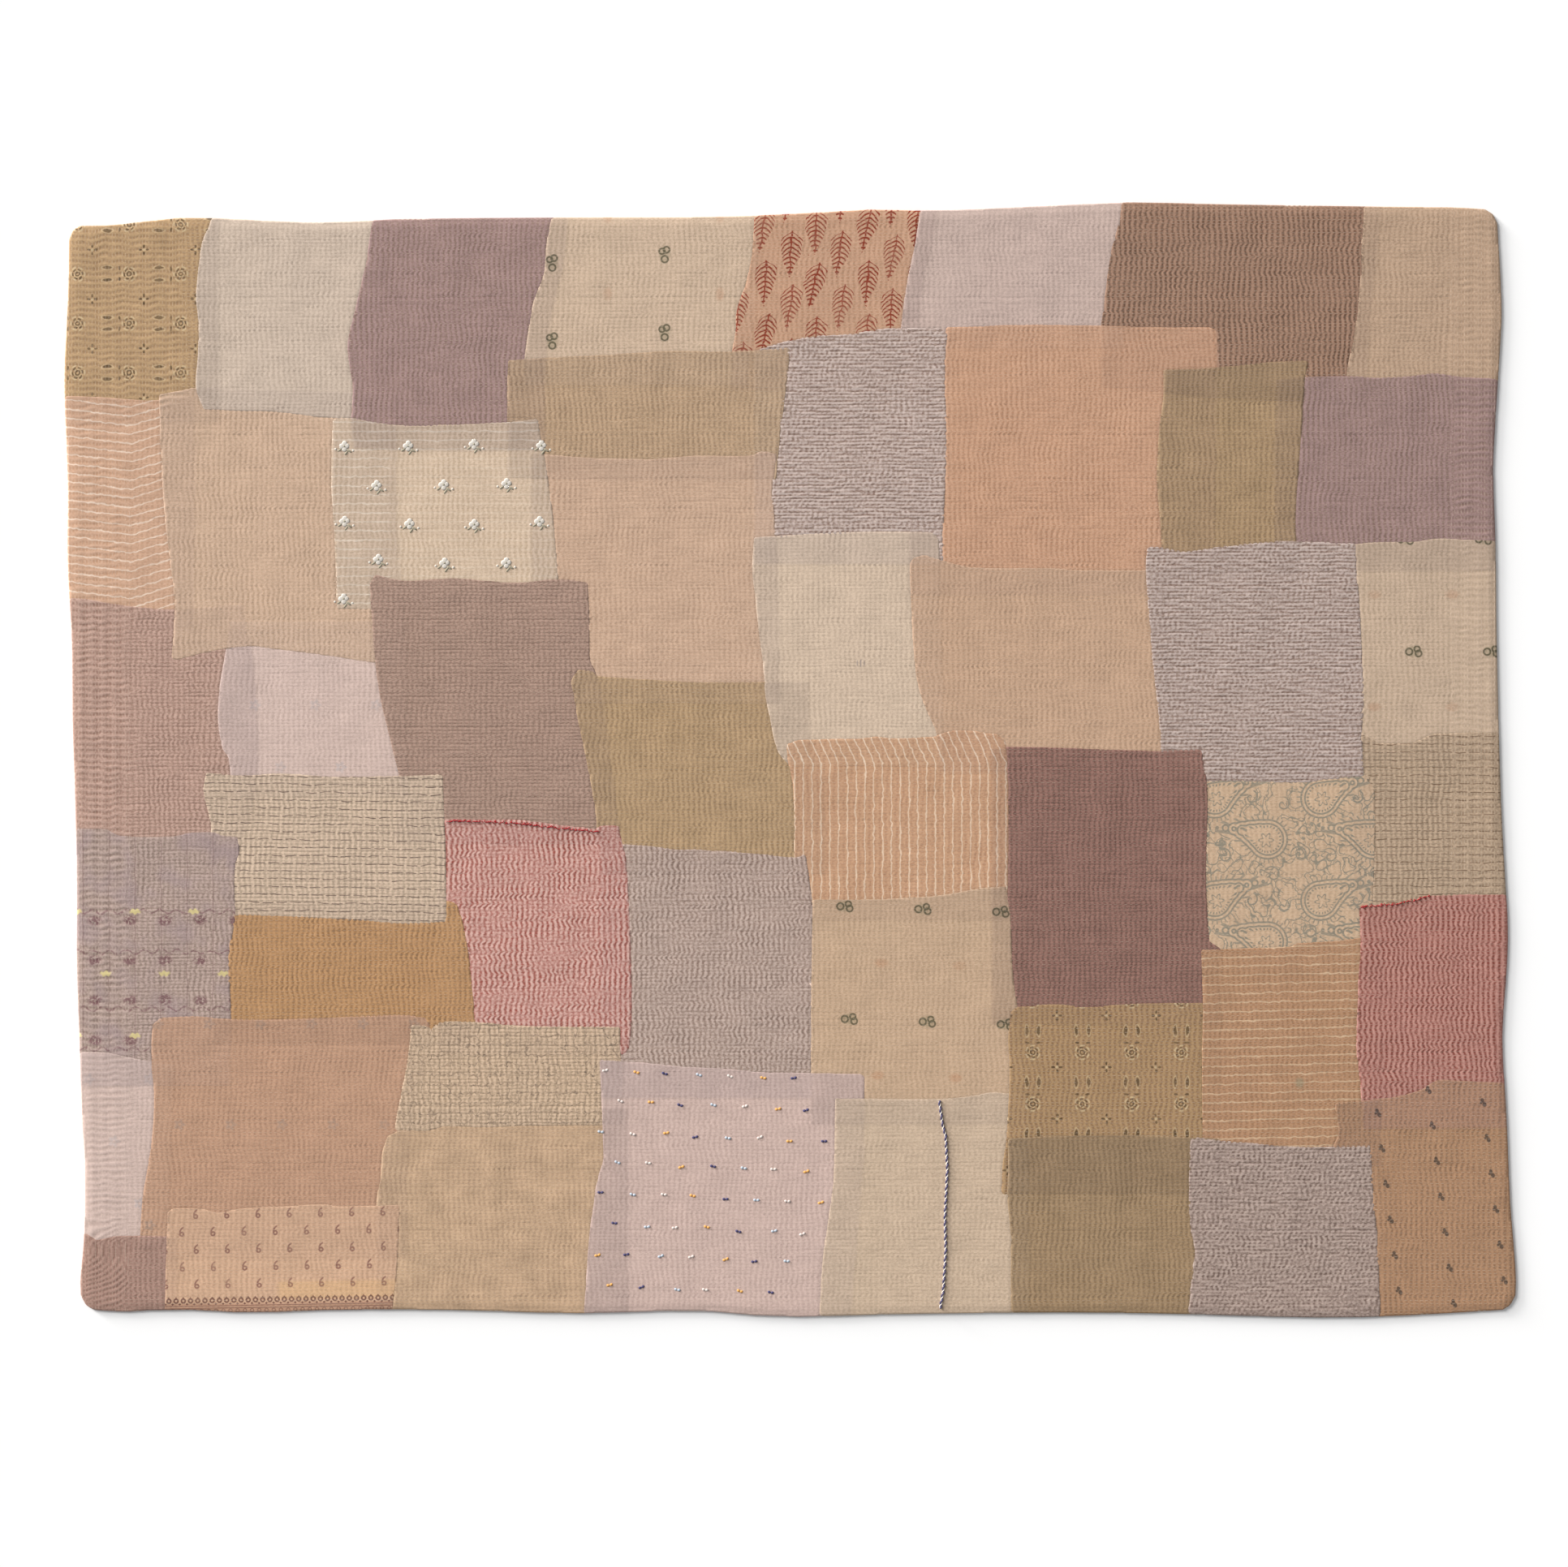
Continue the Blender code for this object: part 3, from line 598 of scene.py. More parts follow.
rise = eased(np.clip(-to_edge / EDGE_SLOPE, 0, 1))
uneven = 0.30 * MM * ripple(55, 41) + 0.16 * MM * ripple(19, 42)
body_height = EDGE_HEIGHT + (BODY_HEIGHT - EDGE_HEIGHT + uneven) * rise
puff = 1 + 0.45 * ripple(26, 43)
band_puff = np.where(plain_x < 0, WEST_BAND_PUFF, EAST_BAND_PUFF) * (1 + 0.7 * ripple(17, 33, 1.3))
rows_or_ridges = 0.5 * ripple(48, 44, 1.0, 1.3)
flecks = 1.9 * ripple(2.8, 45, 0.5)
start_turn = hand.uniform(0, 2 * math.pi, line_count)


def ridge_start(lines):
    """Where in a stitch the ridges of each line start: 1 in step with the others, -1 between them."""
    return np.cos(start_turn[lines] + 1.6 * np.sin(2 * math.pi * plain_x / swing_length[lines]))


in_step = between_lines(ridge_start)
each_stitch = hand.uniform(0.4, 1.6, plain_x.shape)


def pucker(kind, window):
    """The stitched relief of a cloth over a part of the lattice, in metres."""
    cloth = CLOTHS[kind]
    lined_up = ALIGNED.get(kind, USUALLY_ALIGNED)
    more_ridge, share, stitch_pull = rows_or_ridges[window], band_share[window], each_stitch[window]
    step = (lined_up + (1 - lined_up) * in_step[window]) * (lined_up + (1 - lined_up) * stitch_pull)
    field_ridge = (1 + more_ridge) * np.cos(2 * math.pi * field_u[window]) * step
    broken = 1 + (1 - lined_up) * flecks[window]
    field_row = (1 - 0.6 * more_ridge) * np.cos(2 * math.pi * field_v[window]) * pull_here[window] * broken
    band_ridge = band_puff[window] * np.cos(2 * math.pi * band_u[window]) * (0.5 + 0.5 * stitch_pull)
    band_row = 0.4 * np.cos(2 * math.pi * band_v[window]) * stitch_pull
    ridge = (field_ridge + (band_ridge - field_ridge) * share) * cloth.ridge * MM
    row = (field_row + (band_row - field_row) * share) * cloth.row * MM
    return (ridge - row) * puff[window] * (EDGE_RELIEF + (1 - EDGE_RELIEF) * rise[window])


print(f"Body {EDGE_HEIGHT / MM:.1f} mm thick at the edge and {BODY_HEIGHT / MM:.1f} mm inside")

# %% [markdown]
# Cutting a patch from the lattice. Each cell that lies inside the outline is kept whole. A cell on the
# outline is cut where the outline crosses its sides, so the seam is a clean line and not a staircase.
# What lies deep under a later patch is left out.

# %% Cut the lattice along a line
ON_THE_LINE = 0.3 * MM


def cut_cells(depth, keep):
    """Faces from a lattice window: vertex numbers, places on the cut line, and their face corners."""
    number = np.arange(depth.size).reshape(depth.shape)
    flat_depth = depth.ravel()

    def four(values):
        return [values[:-1, :-1], values[:-1, 1:], values[1:, 1:], values[1:, :-1]]

    corners, states = four(number), np.stack(four(depth < 0))
    kept = np.stack(four(keep)).any(0)
    whole = states.all(0) & kept
    faces = [list(face) for face in np.stack([c[whole] for c in corners], axis=1)]
    crossings, made = [], {}

    def crossing(a, b):
        """The point where the cut line crosses the side from a, inside, to b, outside."""
        if -flat_depth[a] < ON_THE_LINE:
            return int(a)
        key = (int(a), int(b))
        if key not in made:
            made[key] = depth.size + len(crossings)
            t = flat_depth[a] / (flat_depth[a] - flat_depth[b])
            crossings.append((int(a), int(b), float(t)))
        return made[key]

    partly = states.any(0) & ~states.all(0) & kept
    for j, i in zip(*np.where(partly)):
        ring = [int(c[j, i]) for c in corners]
        face = []
        for a, b in zip(ring, ring[1:] + ring[:1]):
            a_in, b_in = flat_depth[a] < 0, flat_depth[b] < 0
            if a_in:
                face.append(a)
            if a_in != b_in:
                face.append(crossing(a, b) if a_in else crossing(b, a))
        clean = [p for k, p in enumerate(face) if p != face[k - 1]]
        if len(set(clean)) == len(clean) and len(clean) > 2:
            faces.append(clean)
    return faces, crossings


def at_crossings(crossings, *values):
    """Lattice values as columns, with those of the crossing points worked out and added at the end."""
    flat = [v.reshape(-1) for v in values]
    if crossings:
        a, b, t = (np.array(part) for part in zip(*crossings))
        flat = [np.concatenate([v, v[a] * (1 - t) + v[b] * t]) for v in flat]
    return np.stack(flat, axis=1)


print("Ready to cut")

# %% [markdown]
# The cut edge is then turned down: a hair's breadth at a seam, and right round the quilt's rounded edge
# on the outside. Each turn is a list of steps: how far out, and how far down it goes.

# %% Turn the edges down
SEAM_TURN = [(0.45 * MM, 0.24)]
EDGE_TURN = [(1.0 * MM, 0.74), (1.25 * MM, 0.40), (0.5 * MM, 0.06)]


def rim_of(faces, cut_line):
    """The sides that only one face has and whose two ends lie on the cut line, in face order."""
    seen = {}
    for face in faces:
        for a, b in zip(face, face[1:] + face[:1]):
            if (b, a) in seen:
                del seen[(b, a)]
            else:
                seen[(a, b)] = True
    return [(a, b) for a, b in seen if cut_line[a] and cut_line[b]]


def turn_down(points, faces, rim, turn, to_floor):
    """Adds rings of cloth below the rim: each is a step out, and goes down to a share of the height or
    by so many millimetres."""
    outward = {}
    for a, b in rim:
        side = points[b] - points[a]
        normal = np.array([side[1], -side[0], 0.0])
        for p in (a, b):
            outward[p] = outward.get(p, 0) + normal
    above = {p: p for p in outward}
    rings = []
    total = len(points)
    for step, down in turn:
        ring, places = {}, []
        for p, normal in outward.items():
            spot = points[p] + normal / (np.linalg.norm(normal) + 1e-12) * step
            spot[2] = points[p][2] * down if to_floor else points[p][2] - down * MM
            ring[p] = total
            places.append(spot)
            total += 1
        for a, b in rim:
            faces.append([above[b], above[a], ring[a], ring[b]])
        rings.append(np.array(places))
        above = ring
    return np.vstack([points] + rings), np.tile(np.array(list(outward)), len(turn))


print("Seams turn down in", len(SEAM_TURN), "step and the outer edge in", len(EDGE_TURN))

# %% [markdown]
# Sheer cloth. Where a muslin lies over another patch, some of that patch's colour comes through, a
# little darker and cooler, with only part of its hue. That makes the darker bands along the seams.

# %% Let the patches beneath show through
DYE_THROUGH = 0.35
COOL_SHADE = np.array([-0.05, -0.02, 0.10])
SEEN_BENEATH, SHEER_STRENGTH = 0.8, 1.4
BLURRED_EDGE = 1.6 * MM
MOST_LAYERS = 4


def apart(loop, x, y):
    """Whether the box of a loop and the box of some places don't meet."""
    (left, bottom), (right, top) = loop.min(0), loop.max(0)
    return right < x.min() or left > x.max() or top < y.min() or bottom > y.max()


def tint_below(index, x, y):
    """How the patches beneath colour a sheer one, and how many layers lie beneath."""
    cloth = CLOTHS[PLAN[index].cloth]
    tint = np.ones(x.shape + (3,))
    layers = np.zeros(x.shape)
    own = linear(cloth.colour)
    for beneath in range(index):
        if apart(loops[beneath], x, y):
            continue
        cover = np.clip(0.5 - distance_to_loop(x, y, loops[beneath]) / BLURRED_EDGE, 0, 1)
        below = linear(CLOTHS[PLAN[beneath].cloth].colour) * SEEN_BENEATH
        darker = np.clip(below / own, 0.2, 1.15)
        darker = darker.mean() + (darker - darker.mean()) * DYE_THROUGH
        towards = 1 - cloth.sheer * SHEER_STRENGTH * (1 - darker)
        towards = towards * (1 + cloth.sheer * COOL_SHADE)
        tint = tint * (1 - cover[..., None]) + tint * towards * cover[..., None]
        layers = layers + cover
    return tint, np.minimum(layers, MOST_LAYERS)


print("Sheer cloths:", sum(cloth.sheer > 0.1 for cloth in CLOTHS.values()))

# %% [markdown]
# Each sheet carries three maps. Grain is its place on the cloth in metres, turned with the print. Stitch
# counts stitches and rows. The third lays the sheet out flat in one square. A colour at every point
# holds the tint from below times the patch's brightness, which is partly painted shade, and how high
# that point stands in its pucker, from which the cotton paints shade into the hollows.

# %% Cut the patches
HIDDEN_MARGIN = 9 * MM
WINDOW_MARGIN = 8 * MM
EDGE_ALLOWANCE = 0.3 * MM
OUTER_EDGE = 1.2 * MM
LAYER = 0.10 * MM
TUCKED_DROP, TUCK_START, TUCK_SLOPE = 0.8 * MM, 0.4 * MM, 2.2 * MM
MAP_FILL, MAP_BORDER = 0.98, 0.01


def add_object(name, data):
    """A new object of the scene, at the origin."""
    made = bpy.data.objects.new(name, data)
    bpy.context.scene.collection.objects.link(made)
    return made


def make_sheet_mesh(name, points, faces, corner_maps, tint):
    """A mesh with its maps and its tint."""
    corner_vertex = np.concatenate([np.asarray(face) for face in faces])
    used = np.unique(corner_vertex)
    renumber = np.full(len(points), -1)
    renumber[used] = np.arange(len(used))
    mesh = bpy.data.meshes.new(name)
    mesh.from_pydata(points[used].tolist(), [], [renumber[face].tolist() for face in faces])
    for map_name, values in corner_maps.items():
        layer = mesh.uv_layers.new(name=map_name)
        spread = values(corner_vertex, faces) if callable(values) else values[corner_vertex]
        layer.data.foreach_set("uv", spread.astype(np.float32).ravel())
    if tint is not None:
        colours = mesh.color_attributes.new("tint", "FLOAT_COLOR", "POINT")
        colours.data.foreach_set("color", tint[used].astype(np.float32).ravel())
    mesh.shade_smooth()
    return mesh


def grain_of(points, patch):
    """Each point's place on the cloth, from the patch's anchor and turned with its print."""
    angle = math.radians(patch.turn)
    ax, ay = place(*patch.anchor)
    x, y = points[:, 0] - ax, points[:, 1] - ay
    ahead = x * math.cos(angle) + y * math.sin(angle)
    aside = -x * math.sin(angle) + y * math.cos(angle)
    return np.stack([ahead, aside], 1)


def cut_patch(index):
    """One patch of the plan as its own sheet of cloth, and the size and area it was cut to."""
    patch, cloth = PLAN[index], CLOTHS[PLAN[index].cloth]
    window = window_around(loops[index], X, Y, WINDOW_MARGIN)
    x, y, edge = X[window], Y[window], to_edge[window]
    own_depth = depth_in(index, x, y)
    depth = np.maximum(own_depth, edge + EDGE_ALLOWANCE)
    tucked = np.full(x.shape, -1.0)
    for other in loops[index + 1 :]:
        if not apart(other, x, y):
            tucked = np.maximum(tucked, -distance_to_loop(x, y, other))
    faces, crossings = cut_cells(depth, tucked < HIDDEN_MARGIN)

    tint, layers = tint_below(index, x, y)
    # Each patch's brightness, partly fading and partly painted shade darker towards the right of the quilt,
    # goes into the tint.
    tint = tint * patch.shade
    relief = pucker(patch.cloth, window)
    drop = np.clip((tucked - TUCK_START) / TUCK_SLOPE, 0, 1)
    z = body_height[window] + relief + (layers + 1) * LAYER - TUCKED_DROP * drop
    # How high each point stands in its pucker; the cotton uses it to paint shade into the hollows.
    raised = np.clip(0.5 + 0.5 * relief / ((cloth.ridge + cloth.row) * MM), 0, 1)
    points = at_crossings(crossings, x, y, z)
    tints = at_crossings(crossings, tint[..., 0], tint[..., 1], tint[..., 2], raised)
    stitch = at_crossings(crossings, field_u[window], field_v[window])
    band = at_crossings(crossings, band_u[window], band_v[window])
    others = at_crossings(crossings, depth, edge, in_band[window].astype(float))
    depth_there, edge_there, band_here = others[:, 0], others[:, 1], others[:, 2] > 0.5

    cut = (own_depth < 0) & (edge < 0)
    cut_area = float(cut.sum() * (STITCH_PITCH / 2) * (ROW_PITCH / 2))
    cut_x = float(x[cut].max() - x[cut].min() + STITCH_PITCH / 2)
    cut_y = float(y[cut].max() - y[cut].min() + ROW_PITCH / 2)

    rim = rim_of(faces, depth_there > -ON_THE_LINE)
    outer = [(a, b) for a, b in rim if min(edge_there[a], edge_there[b]) > -OUTER_EDGE]
    seam = [pair for pair in rim if pair not in set(outer)]
    origin = [np.arange(len(points))]
    for sides, turn, to_floor in ((seam, SEAM_TURN, False), (outer, EDGE_TURN, True)):
        if sides:
            points, source = turn_down(points, faces, sides, turn, to_floor)
            origin.append(source)
    origin = np.concatenate(origin)

    def stitch_map(corner_vertex, faces):
        """Field stitches, or band stitches on a face that lies in an end band."""
        lengths = [len(face) for face in faces]
        starts = np.r_[0, np.cumsum(lengths)[:-1]]
        votes = np.add.reduceat(band_here[origin[corner_vertex]].astype(float), starts)
        in_end = np.repeat(votes * 2 > np.array(lengths), lengths)
        return np.where(in_end[:, None], band[origin[corner_vertex]], stitch[origin[corner_vertex]])

    from_corner = points[:, :2] - points[:, :2].min(0)
    flat_map = from_corner / from_corner.max() * MAP_FILL + MAP_BORDER
    maps = {"OFBake": flat_map, "grain": grain_of(points, patch), "stitch": stitch_map}
    mesh = make_sheet_mesh(patch.name, points, faces, maps, tints[origin])
    return add_object("patch_" + patch.name, mesh), (cut_x, cut_y), cut_area


patches, cuts = {}, {}
face_total = 0
for index, patch in enumerate(PLAN):
    piece, cut_size, cut_area = cut_patch(index)
    patches[patch.name] = piece
    cuts[patch.name] = (cut_size, cut_area)
    piece.data.calc_loop_triangles()
    face_total += len(piece.data.loop_triangles)
    print(f"{patch.name}: cut {cut_size[0] * 100:.0f} x {cut_size[1] * 100:.0f} cm")
print(face_total, "triangles in the patches")

# %% [markdown]
# The backing. Under the patches lie the inner layers and the back, one soft body whose rounded edge the
# patches are turned round. It stands for the CAD solid. Its back is plain old cotton with the same rows
# of stitches, seen from below as small dents, and it lies flat.

# %% Make the backing
EVERY = 5
BACKING_ALLOWANCE, FLAT_BORDER = 0.6 * MM, 12 * MM
BELOW_PATCHES = 0.9 * MM
DENT, DENT_SIZE, DENT_SEED = 0.25 * MM, 14 * MM, 51


def make_backing():
    pick = (slice(0, rows, EVERY), slice(0, columns, EVERY))
    x, y = X[pick], Y[pick]
    depth = to_edge[pick] + BACKING_ALLOWANCE
    faces, crossings = cut_cells(depth, np.ones(x.shape, bool))
    dents = np.where(depth > -FLAT_BORDER, 0.0, DENT * np.abs(slow_noise(x, y, DENT_SIZE, DENT_SEED)))
    top_points = at_crossings(crossings, x, y, body_height[pick] - BELOW_PATCHES)
    under_points = at_crossings(crossings, x, y, dents)
    rim = rim_of(faces, at_crossings(crossings, depth)[:, 0] > -ON_THE_LINE)
    count = len(top_points)
    points = np.vstack([top_points, under_points])
    under_faces = [[p + count for p in face[::-1]] for face in faces]
    edge_faces = [[b, a, a + count, b + count] for a, b in rim]
    stitch = at_crossings(crossings, field_u[pick], field_v[pick])
    maps = {"grain": points[:, :2], "stitch": np.vstack([stitch, stitch])}
    mesh = make_sheet_mesh("quilt_backing", points, faces + under_faces + edge_faces, maps, None)
    return add_object("quilt_backing", mesh)


backing = make_backing()
print(len(backing.data.polygons), "faces in the backing")

# %% [markdown]
# Shader maths. A cloth's colour is worked out from its own maps, so this small class lets a shader
# socket stand in a sum like a number. Plain numbers are worked out in Python, and only what changes
# over the cloth becomes a node.

# %% A socket that behaves like a number
class Wire:
    """A shader socket with the sums that a number has."""

    def __init__(self, tree, socket=None):
        self.tree = tree
        self.socket = socket

    def node(self, kind, settings, values, out=0):
        """Any node: its settings first, then its values and links. Returns one of its outputs."""
        made = self.tree.nodes.new("ShaderNode" + kind)
        for key, value in settings.items():
            setattr(made, key, value)
        for key, value in values.items():
            if isinstance(value, Wire):
                self.tree.links.new(value.socket, made.inputs[key])
            else:
                made.inputs[key].default_value = value
        return Wire(self.tree, made.outputs[out])

    def maths(self, operation, *values):
        return self.node("Math", {"operation": operation}, dict(enumerate(values)))

    def __add__(self, other):
        return self.maths("ADD", self, other)

    def __radd__(self, other):
        return self.maths("ADD", other, self)

    def __sub__(self, other):
        return self.maths("SUBTRACT", self, other)

    def __rsub__(self, other):
        return self.maths("SUBTRACT", other, self)

    def __mul__(self, other):
        return self.maths("MULTIPLY", self, other)

    def __rmul__(self, other):
        return self.maths("MULTIPLY", other, self)

    def __truediv__(self, other):
        return self.maths("DIVIDE", self, other)

    def __rtruediv__(self, other):
        return self.maths("DIVIDE", other, self)

    def __neg__(self):
        return self * -1.0

    def size(self):
        return self.maths("ABSOLUTE", self)

    def wave(self):
        """The cosine of a number of turns."""
        return self.maths("COSINE", self * (2 * math.pi))

    def nearest(self):
        return self.maths("ROUND", self)

    def at_least(self, other):
        return self.maths("MAXIMUM", self, other)

    def at_most(self, other):
        return self.maths("MINIMUM", self, other)

    def repeat(self, pitch):
        """Folds a coordinate into one repeat of a pattern, from minus half a pitch to half a pitch."""
        return self.maths("WRAP", self, pitch / 2, -pitch / 2)

    def ramp(self, start, end):
        """A soft step, 0 before start and 1 after end."""
        settings = {"interpolation_type": "SMOOTHSTEP"}
        return self.node("MapRange", settings, {"Value": self, "From Min": start, "From Max": end})

    def under(self, edge, soft):
        """1 where the value is smaller than edge, with a soft border."""
        return 1 - self.ramp(edge - soft, edge + soft)

    def close_to(self, place, half, soft):
        """1 where the value is within half of a place, with a soft border."""
        return (self - place).size().under(half, soft)

    def lines(self, pitch, half, soft):
        """1 on lines that lie a pitch apart."""
        return self.repeat(pitch).size().under(half, soft)

    def mix(self, first, second):
        """The colour from first to second as this goes from 0 to 1."""
        return self.node("Mix", {"data_type": "RGBA"}, {0: self, 6: first, 7: second}, 2)


def distance(x, y):
    """How far a place is from the middle."""
    squares = x * x + y * y
    return squares.maths("SQRT", squares)


def direction(x, y):
    """Which way a place lies from the middle, in turns."""
    return x.maths("ARCTAN2", y, x) / (2 * math.pi)


def odd_one(number):
    """1 for an odd whole number and 0 for an even one."""
    return (number / 2 - (number / 2).nearest()).size() * 2


def boldest(*masks):
    """The strongest of several masks."""
    return reduce(Wire.at_least, masks)


def joined(x, y):
    return x.node("CombineXYZ", {}, {0: x, 1: y, 2: 0.0})


def parted(where):
    """The x and the y of a place."""
    return [where.node("SeparateXYZ", {}, {0: where}, axis) for axis in (0, 1)]


def soft_noise(where, scale, detail=2.0):
    """Noise from 0 to 1 at so many bumps a millimetre of the grain map."""
    values = {"Vector": where, "Scale": scale, "Detail": detail, "Roughness": 0.55}
    return where.node("TexNoise", {"noise_dimensions": "2D"}, values)


def rgba(code, factor=1.0):
    return (*linear(code, factor), 1.0)


print("Shader sums are ready")

# %% [markdown]
# The block prints. Carved blocks repeat, so each print is one motif drawn with a few distances and folded
# over the cloth. All lengths are millimetres on the cloth, x across and y up the print. The motifs are
# the usual ones of such cloth. Each function gives masks and the dyes that go over the ground colour, in
# printing order. Blur is a slow noise that wears the print away in places.

# %% Draw the block prints
def sway(x, y, per_mm, amount):
    """How far the puckers push a pattern sideways, in millimetres."""
    return (soft_noise(joined(x, y), per_mm, 1.0) - 0.5) * amount


def rosettes(x, y, blur):
    """A roundel of broken arcs, two leaves and two drops over it, and four-petal flowers between."""
    pitch_x, pitch_y = 59, 61.5
    x = x + sway(x, y, 0.1, 3.0)
    px, py = x.repeat(pitch_x), y.repeat(pitch_y)
    far = distance(px, py)
    arcs = (direction(px, py) * 6 + far * 0.06).wave().ramp(-0.75, -0.2)
    ring = far.close_to(5.8, 0.95, 0.5) * arcs
    eye = far.close_to(2.3, 0.8, 0.45)
    leaf = distance((px.size() - 6.4) * 0.62, (py - 11.6) * 1.3 - px.size() * 0.12 + 0.8).under(1.6, 0.5)
    drop = distance((px.size() - 7.2) * 2.7, (y - 26.0).repeat(pitch_y))
    flower_x, flower_y = (x + 30).repeat(pitch_x).size(), (y + 17.6).repeat(pitch_y).size()
    across = distance(flower_x - 4.2, flower_y * 1.5).under(2.0, 0.6)
    upright = distance(flower_x * 1.5, flower_y - 4.2).under(2.0, 0.6)
    pale_arcs = far.close_to(8.2, 0.9, 0.5).at_least(far.close_to(4.0, 0.6, 0.4)) * arcs
    pale_drop = drop.close_to(7.2, 0.9, 0.5) * 0.7
    pale = boldest(pale_arcs, pale_drop, distance(flower_x, flower_y).under(1.6, 0.5))
    dark = boldest(ring, eye, leaf, drop.under(5.2, 1.2), across, upright)
    return [(pale * 0.36, "E2D1AA"), (dark * (0.28 + blur * 0.85), "4A3B28")]


def double_rings(x, y, blur):
    """A group of small dark curls, far apart, and a faint old stain between the rows."""
    pitch_x, pitch_y = 93, 134.0
    row = (y / pitch_y).nearest()
    px, py = (x + row * 10).repeat(pitch_x), y.repeat(pitch_y)
    left = (distance(px + 5.4, py + 0.3) - 3.9).size()
    right = (distance(px - 5.8, py + 2.5) - 3.6).size()
    top = (distance(px - 4.0, py - 2.9) - 3.3).size()
    curls = left.at_most(right).at_most(top).under(1.1, 0.55)
    haze = distance(px * 0.8, py * 1.15).under(7.5, 2.5) * 0.42
    mark_x, mark_y = (x - 46).repeat(pitch_x), (y + 66).repeat(pitch_y)
    old_mark = distance(mark_x * 0.8, mark_y * 1.2).under(6.0, 2.5)
    return [(old_mark * blur * 0.5, "A86E48"), (haze, "8F8568"), (curls * 0.82, "4D4A35")]


def ferns(x, y, blur):
    """Fern leaves in half-drop rows, each a midrib with drooping fronds."""
    pitch_x, pitch_y, half_drop = 30.5, 64.0, 31
    x = x + sway(x, y, 0.09, 5.0)
    column = (x / pitch_x).nearest()
    dropped = y + odd_one(column) * half_drop
    row = (dropped / pitch_y).nearest()
    px = x.repeat(pitch_x) + (column * 1.7 + row * 0.31).wave() * 1.4
    py = (dropped + (column * 0.37).wave() * 3).repeat(pitch_y)
    sx = px - py * 0.13 - py * 0.09 * (column * 0.81 + row * 0.43).wave()
    reach = (py * 0.40 + 12.2).at_most(12.3).at_most((24.5 - py) * 1.5)
    side = sx.size()
    within = (side - reach).under(0.0, 0.6)
    fronds = (py + side * 0.12 + side * side * 0.058).lines(5.9, 1.15, 0.5) * within
    rib = side.under(0.95, 0.5) * py.close_to(-0.5, 26.0, 1.0)
    worn = 0.72 + blur * 0.5 + (column * 0.57 + row * 0.71).wave() * 0.12
    return [(fronds.at_least(rib) * worn, "873B28")]


def small_paisleys(x, y, blur):
    """Rows of small comma shapes above a border of curls and lines."""
    comma_x, comma_y, border_x = 37.2, 20.8, 8.6
    row = (y / comma_y).nearest()
    px, py = (x + 9.4 - odd_one(row) * 17.0).repeat(comma_x), y.repeat(comma_y)
    ring = distance(px, py + 1.8).close_to(2.1, 1.05, 0.5)
    tail = distance(px - 4.4, py).close_to(6.4, 1.0, 0.5) * px.under(2.2, 0.8) * py.ramp(-3.0, -1.0)
    commas = ring.at_least(tail) * y.ramp(10, 12) * (0.45 + blur * 0.5)
    bx, between_x = x.repeat(border_x), (x + border_x / 2).repeat(border_x)
    curls = distance(bx, y - 1.8).close_to(2.3, 1.0, 0.5)
    points = (bx.size() + (y - 5.2).size() * 0.8).under(1.0, 0.5)
    feet = (between_x.size() + (y + 2.2).size() * 1.1).under(1.7, 0.5)
    double_line = (y + 4.6).size().at_most((y + 7.4).size()).under(0.45, 0.4) * 0.8
    low_curls = distance(between_x, y + 10.6).close_to(2.0, 0.6, 0.5) * 0.7
    border = boldest(curls, points, feet, double_line, low_curls) * (0.6 + blur * 0.4)
    glow = y.ramp(1, 4) * y.under(23.0, 3.0) * (x + 8).ramp(-4, 6) * 0.35
    hem = y.under(-2.0, 0.6) * 0.35
    return [(glow, "DDB27A"), (hem, "A5705F"), (commas, "7A4E47"), (border, "5F3833")]


def small_ticks(x, y, blur):
    """Small three-lobed ticks in leaning columns."""
    pitch_x, pitch_y = 63.5, 42.4
    column = (x / pitch_x).nearest()
    px, py = (x + y * 0.12).repeat(pitch_x), (y + column * 15.0).repeat(pitch_y)
    upper = distance((px + 0.9) * 1.3, py - 2.6).under(2.7, 0.7)
    lower = distance((px - 1.0) * 1.2, py + 2.0).under(2.9, 0.7)
    spur = distance(px + 2.8, py + 0.2).under(1.5, 0.6)
    return [(boldest(upper, lower, spur) * 0.85, "4B4038")]


def single_mark(x, y, blur):
    """One small faded mark: three short strokes."""
    return [(x.lines(4.2, 0.6, 0.4) * distance(x * 0.8, y).under(4.5, 1.2) * 0.75, "7C7377")]


def faint_flowers(dye, strength, pitch_x, pitch_y):
    """Washed-out flowers, hardly there."""

    def draw(x, y, blur):
        row = (y / pitch_y).nearest()
        px, py = (x + row * pitch_x * 0.42).repeat(pitch_x), y.repeat(pitch_y)
        far = distance(px, py)
        petal = (direction(px, py) * 5).wave()
        return [((far - petal * 1.6).under(5.6, 1.6) * far.ramp(1.0, 2.4) * strength * blur, dye)]

    return draw


print("Block prints are drawn")

# %% [markdown]
# The large paisleys. A paisley is a drop whose tail bends over. Here it is a row of circles that shrink
# along a bent line and melt into each other, so the distance from its edge gives every line inside it.

# %% Draw the large paisleys
def teardrop(x, y):
    """How far a place is outside a paisley, in millimetres."""
    circles = 7
    edge = None
    for number in range(circles):
        share = number / (circles - 1)
        radius = 22.0 * (1 - share) ** 1.25 + 1.2
        circle = distance(x - -60 * share, y - (30 * share - 15 * share**2)) - radius
        melted = {0: edge, 1: circle, 2: 3.0}
        edge = circle if edge is None else edge.node("Math", {"operation": "SMOOTH_MIN"}, melted)
    return edge


